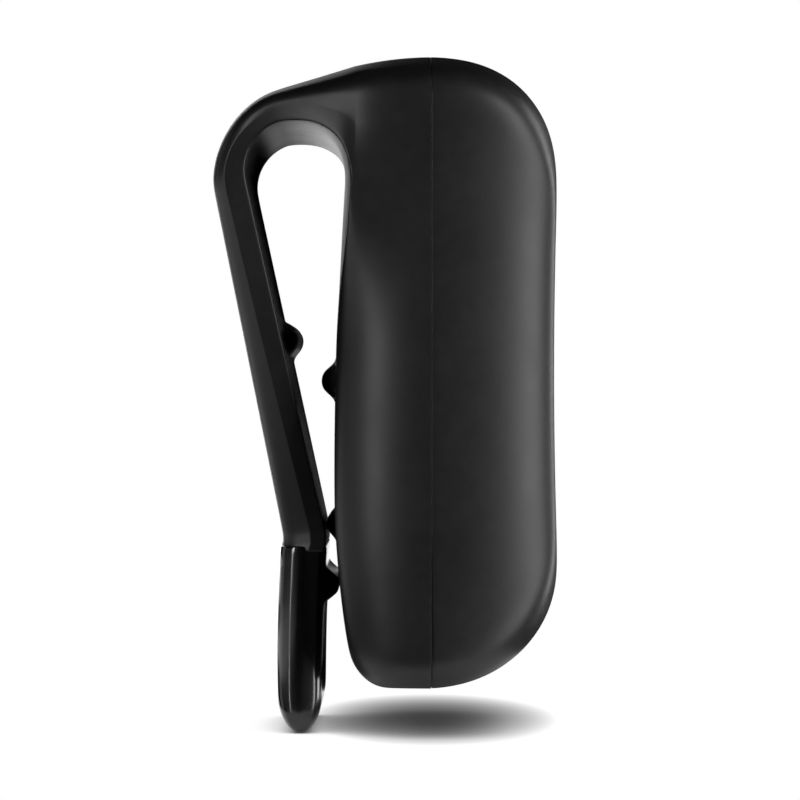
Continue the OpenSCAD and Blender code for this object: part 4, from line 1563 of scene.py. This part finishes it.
# %% [markdown]
# ### Clear sheet
# The clear part has to lie over the display, so its rectangle is taken from the display's CAD node and
# drawn in a little. The sheet itself is the same rounded slab as its seat, without the gap.

# %% Make the window
glass_low, glass_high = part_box("lcd_panel")
glass_middle = ((glass_low.x + glass_high.x) / 2, (glass_low.z + glass_high.z) / 2)
glass_half = ((glass_high.x - glass_low.x) / 2 - 0.9 * MM, (glass_high.z - glass_low.z) / 2 - 0.8 * MM)
pane = slab(window_half, window_tall, window_round, window_z,
            [(-0.12, panel_y + 0.1), (-0.03, panel_y + 0.13), (0, panel_y + 0.22), (0, panel_y + 1.1)])
printed_window = window_finish(glass_middle, glass_half)
settle("screen_window", pane, printed_window, "housing", "window_glass", "display_window")

# %% [markdown]
# ## Base screws
# Two small screws hold the halves together from below. Each is one profile turned round its axis, with a
# six-sided socket cut into its head. Both are one piece, as they are the same part used twice.

# %% Turn the screws
screw_low, screw_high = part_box("base_screws")
head_z = screw_low.z / MM - base_z
end_z = screw_high.z / MM - base_z
head_radius = 1.55
shank_radius = 0.95
screw_length = end_z - head_z
profile = [(0, 0), (head_radius - 0.25, 0), (head_radius - 0.07, 0.06), (head_radius, 0.22)]
profile += [(head_radius, 1.25), (head_radius - 0.1, 1.35), (shank_radius, 1.4)]
profile += [(shank_radius, screw_length - 0.4), (shank_radius - 0.35, screw_length), (0, screw_length)]


def turned(points, middle):
    """A closed solid turned from a profile of radius and height, about an upright line."""
    bm = bmesh.new()
    bmesh.ops.create_circle(bm, segments=len(points), radius=1)
    bm.verts.ensure_lookup_table()
    for vert, (radius, height) in zip(bm.verts[:], points):
        vert.co = Vector((radius, 0, height)) * MM
    closing = [edge for edge in bm.edges if all(abs(vert.co.x) < 1e-9 for vert in edge.verts)]
    bmesh.ops.delete(bm, geom=closing, context="EDGES")
    bmesh.ops.spin(bm, geom=bm.verts[:] + bm.edges[:], cent=(0, 0, 0), axis=(0, 0, 1), angle=2 * math.pi,
                   steps=48, use_merge=True)
    bmesh.ops.remove_doubles(bm, verts=bm.verts, dist=1e-7)
    bmesh.ops.recalc_face_normals(bm, faces=bm.faces)
    bmesh.ops.translate(bm, verts=bm.verts, vec=middle)
    return bm


pair = None
for side in (-1, 1):
    screw = turned(profile, spot(side * screw_x, screw_y, head_z))
    socket = bmesh.new()
    bmesh.ops.create_cone(socket, cap_ends=True, segments=6, radius1=0.8 * MM, radius2=0.8 * MM,
                          depth=1.8 * MM, matrix=Matrix.Translation(spot(side * screw_x, screw_y, head_z)))
    screw = carved(screw, socket)
    if pair is None:
        pair = screw
    else:
        other = bpy.data.meshes.new("other_screw")
        screw.to_mesh(other)
        pair.from_mesh(other)
        screw.free()
        bpy.data.meshes.remove(other)
print("screw length, mm:", round(screw_length, 2))

# %% [markdown]
# ### Steel
# Bare steel is a metallic Principled shader with fine marks. The noise is squeezed along the screw's
# length, so the marks run round it, as a lathe leaves them.

# %% Steel for the screws


def metal_finish(name, dark, light, low, high, stretch=(1, 1, 1)):
    """Bare metal with faint marks from its making."""
    material, shader = start_finish(name, metallic=1.0)
    tint(material, shader, noise(material, 1.2, 4, stretch), dark, light)
    gloss(material, shader, noise(material, 0.8, 4, stretch), low, high)
    grain(material, shader, noise(material, 0.1, 2, stretch), 0.004)
    return material


screw_steel = metal_finish("screw_steel", (0.3, 0.3, 0.31), (0.48, 0.48, 0.5), 0.28, 0.42, (1, 1, 4))
settle("base_screw_pair", pair, screw_steel, "housing", "screw_steel", "base_screws")

# %% [markdown]
# ## Inner pieces
# The pieces inside keep their CAD meshes. They only need believable finishes for when the port cover is open
# or the model is taken apart: off-white mouldings, green board lacquer, dark chip resin, fired ceramic, tin
# and brass, foil, and a display with a fine grid of cells.

# %% Finishes for the inner pieces


def moulded_finish(name, dark, light, low, high, relief=0.004):
    """A plain moulded or cast piece: slight mottling in colour and sheen."""
    material, shader = start_finish(name, specular=0.4)
    tint(material, shader, noise(material, 1.5, 4), dark, light)
    gloss(material, shader, noise(material, 2.5, 3), low, high)
    grain(material, shader, noise(material, 0.15, 2), relief)
    return material


def display_finish():
    """A grey-green liquid crystal display at rest, with its grid of cells."""
    material, shader = start_finish("display_glass", roughness=0.18, specular=0.5)
    place = add_node(material, "ShaderNodeTexCoord")
    parts = add_node(material, "ShaderNodeSeparateXYZ")
    flat = add_node(material, "ShaderNodeCombineXYZ")
    join(material, place.outputs["Object"], parts.inputs["Vector"])
    join(material, parts.outputs["X"], flat.inputs["X"])
    join(material, parts.outputs["Z"], flat.inputs["Y"])
    cells = add_node(material, "ShaderNodeTexBrick", offset=0.0, squash=1.0)
    cells.inputs["Scale"].default_value = 1 / (0.22 * MM)
    cells.inputs["Brick Width"].default_value = 1
    cells.inputs["Row Height"].default_value = 1
    cells.inputs["Mortar Size"].default_value = 0.07
    cells.inputs["Mortar Smooth"].default_value = 0.3
    cells.inputs["Color1"].default_value = (0.33, 0.37, 0.31, 1)
    cells.inputs["Color2"].default_value = (0.36, 0.4, 0.34, 1)
    cells.inputs["Mortar"].default_value = (0.24, 0.27, 0.23, 1)
    join(material, flat.outputs["Vector"], cells.inputs["Vector"])
    join(material, cells.outputs["Color"], shader.inputs["Base Color"])
    return material


# %% [markdown]
# ### One finish for each slot
# The record gives every piece a material slot. The finishes made so far go in by name, and the simple
# ones are made in two loops from their colours and their sheen.

# %% One finish for each slot
finishes = {
    "shell_plastic": soft_touch,
    "tip_plastic": polished,
    "key_rubber": key_rubber,
    "seal_rubber": seal_rubber,
    "screw_steel": screw_steel,
    "display_glass": display_finish(),
}
moulded = {
    "white_plastic": ((0.68, 0.68, 0.65), (0.78, 0.78, 0.75), 0.42, 0.55),
    "board_laminate": ((0.012, 0.085, 0.035), (0.022, 0.13, 0.055), 0.22, 0.38),
    "chip_plastic": ((0.015, 0.015, 0.016), (0.026, 0.026, 0.027), 0.5, 0.65),
    "plunger_plastic": ((0.34, 0.04, 0.03), (0.43, 0.06, 0.045), 0.35, 0.5),
    "antenna_ceramic": ((0.55, 0.49, 0.36), (0.66, 0.6, 0.46), 0.55, 0.75, 0.01),
}
metals = {
    "tinned_metal": ((0.52, 0.52, 0.52), (0.64, 0.64, 0.63), 0.25, 0.42, (1, 1, 6)),
    "insert_brass": ((0.6, 0.42, 0.16), (0.74, 0.54, 0.24), 0.25, 0.4),
    "cell_foil": ((0.55, 0.56, 0.58), (0.64, 0.65, 0.67), 0.32, 0.48),
}
for name, values in moulded.items():
    finishes[name] = moulded_finish(name, *values)
for name, values in metals.items():
    finishes[name] = metal_finish(name, *values)
print("finishes by slot:", len(finishes))

# %% [markdown]
# ### Dressing
# Each CAD node names a slot in the record. The finish for that slot goes into the node's own material slots,
# and its mesh is left alone.

# %% Dress the inner pieces
for subpart in frame["record"]["subparts"]:
    obj = frame["nodes"][subpart["node"]]
    finish = finishes.get(subpart["material_slot"], soft_touch)
    for material_slot in obj.material_slots:
        material_slot.material = finish
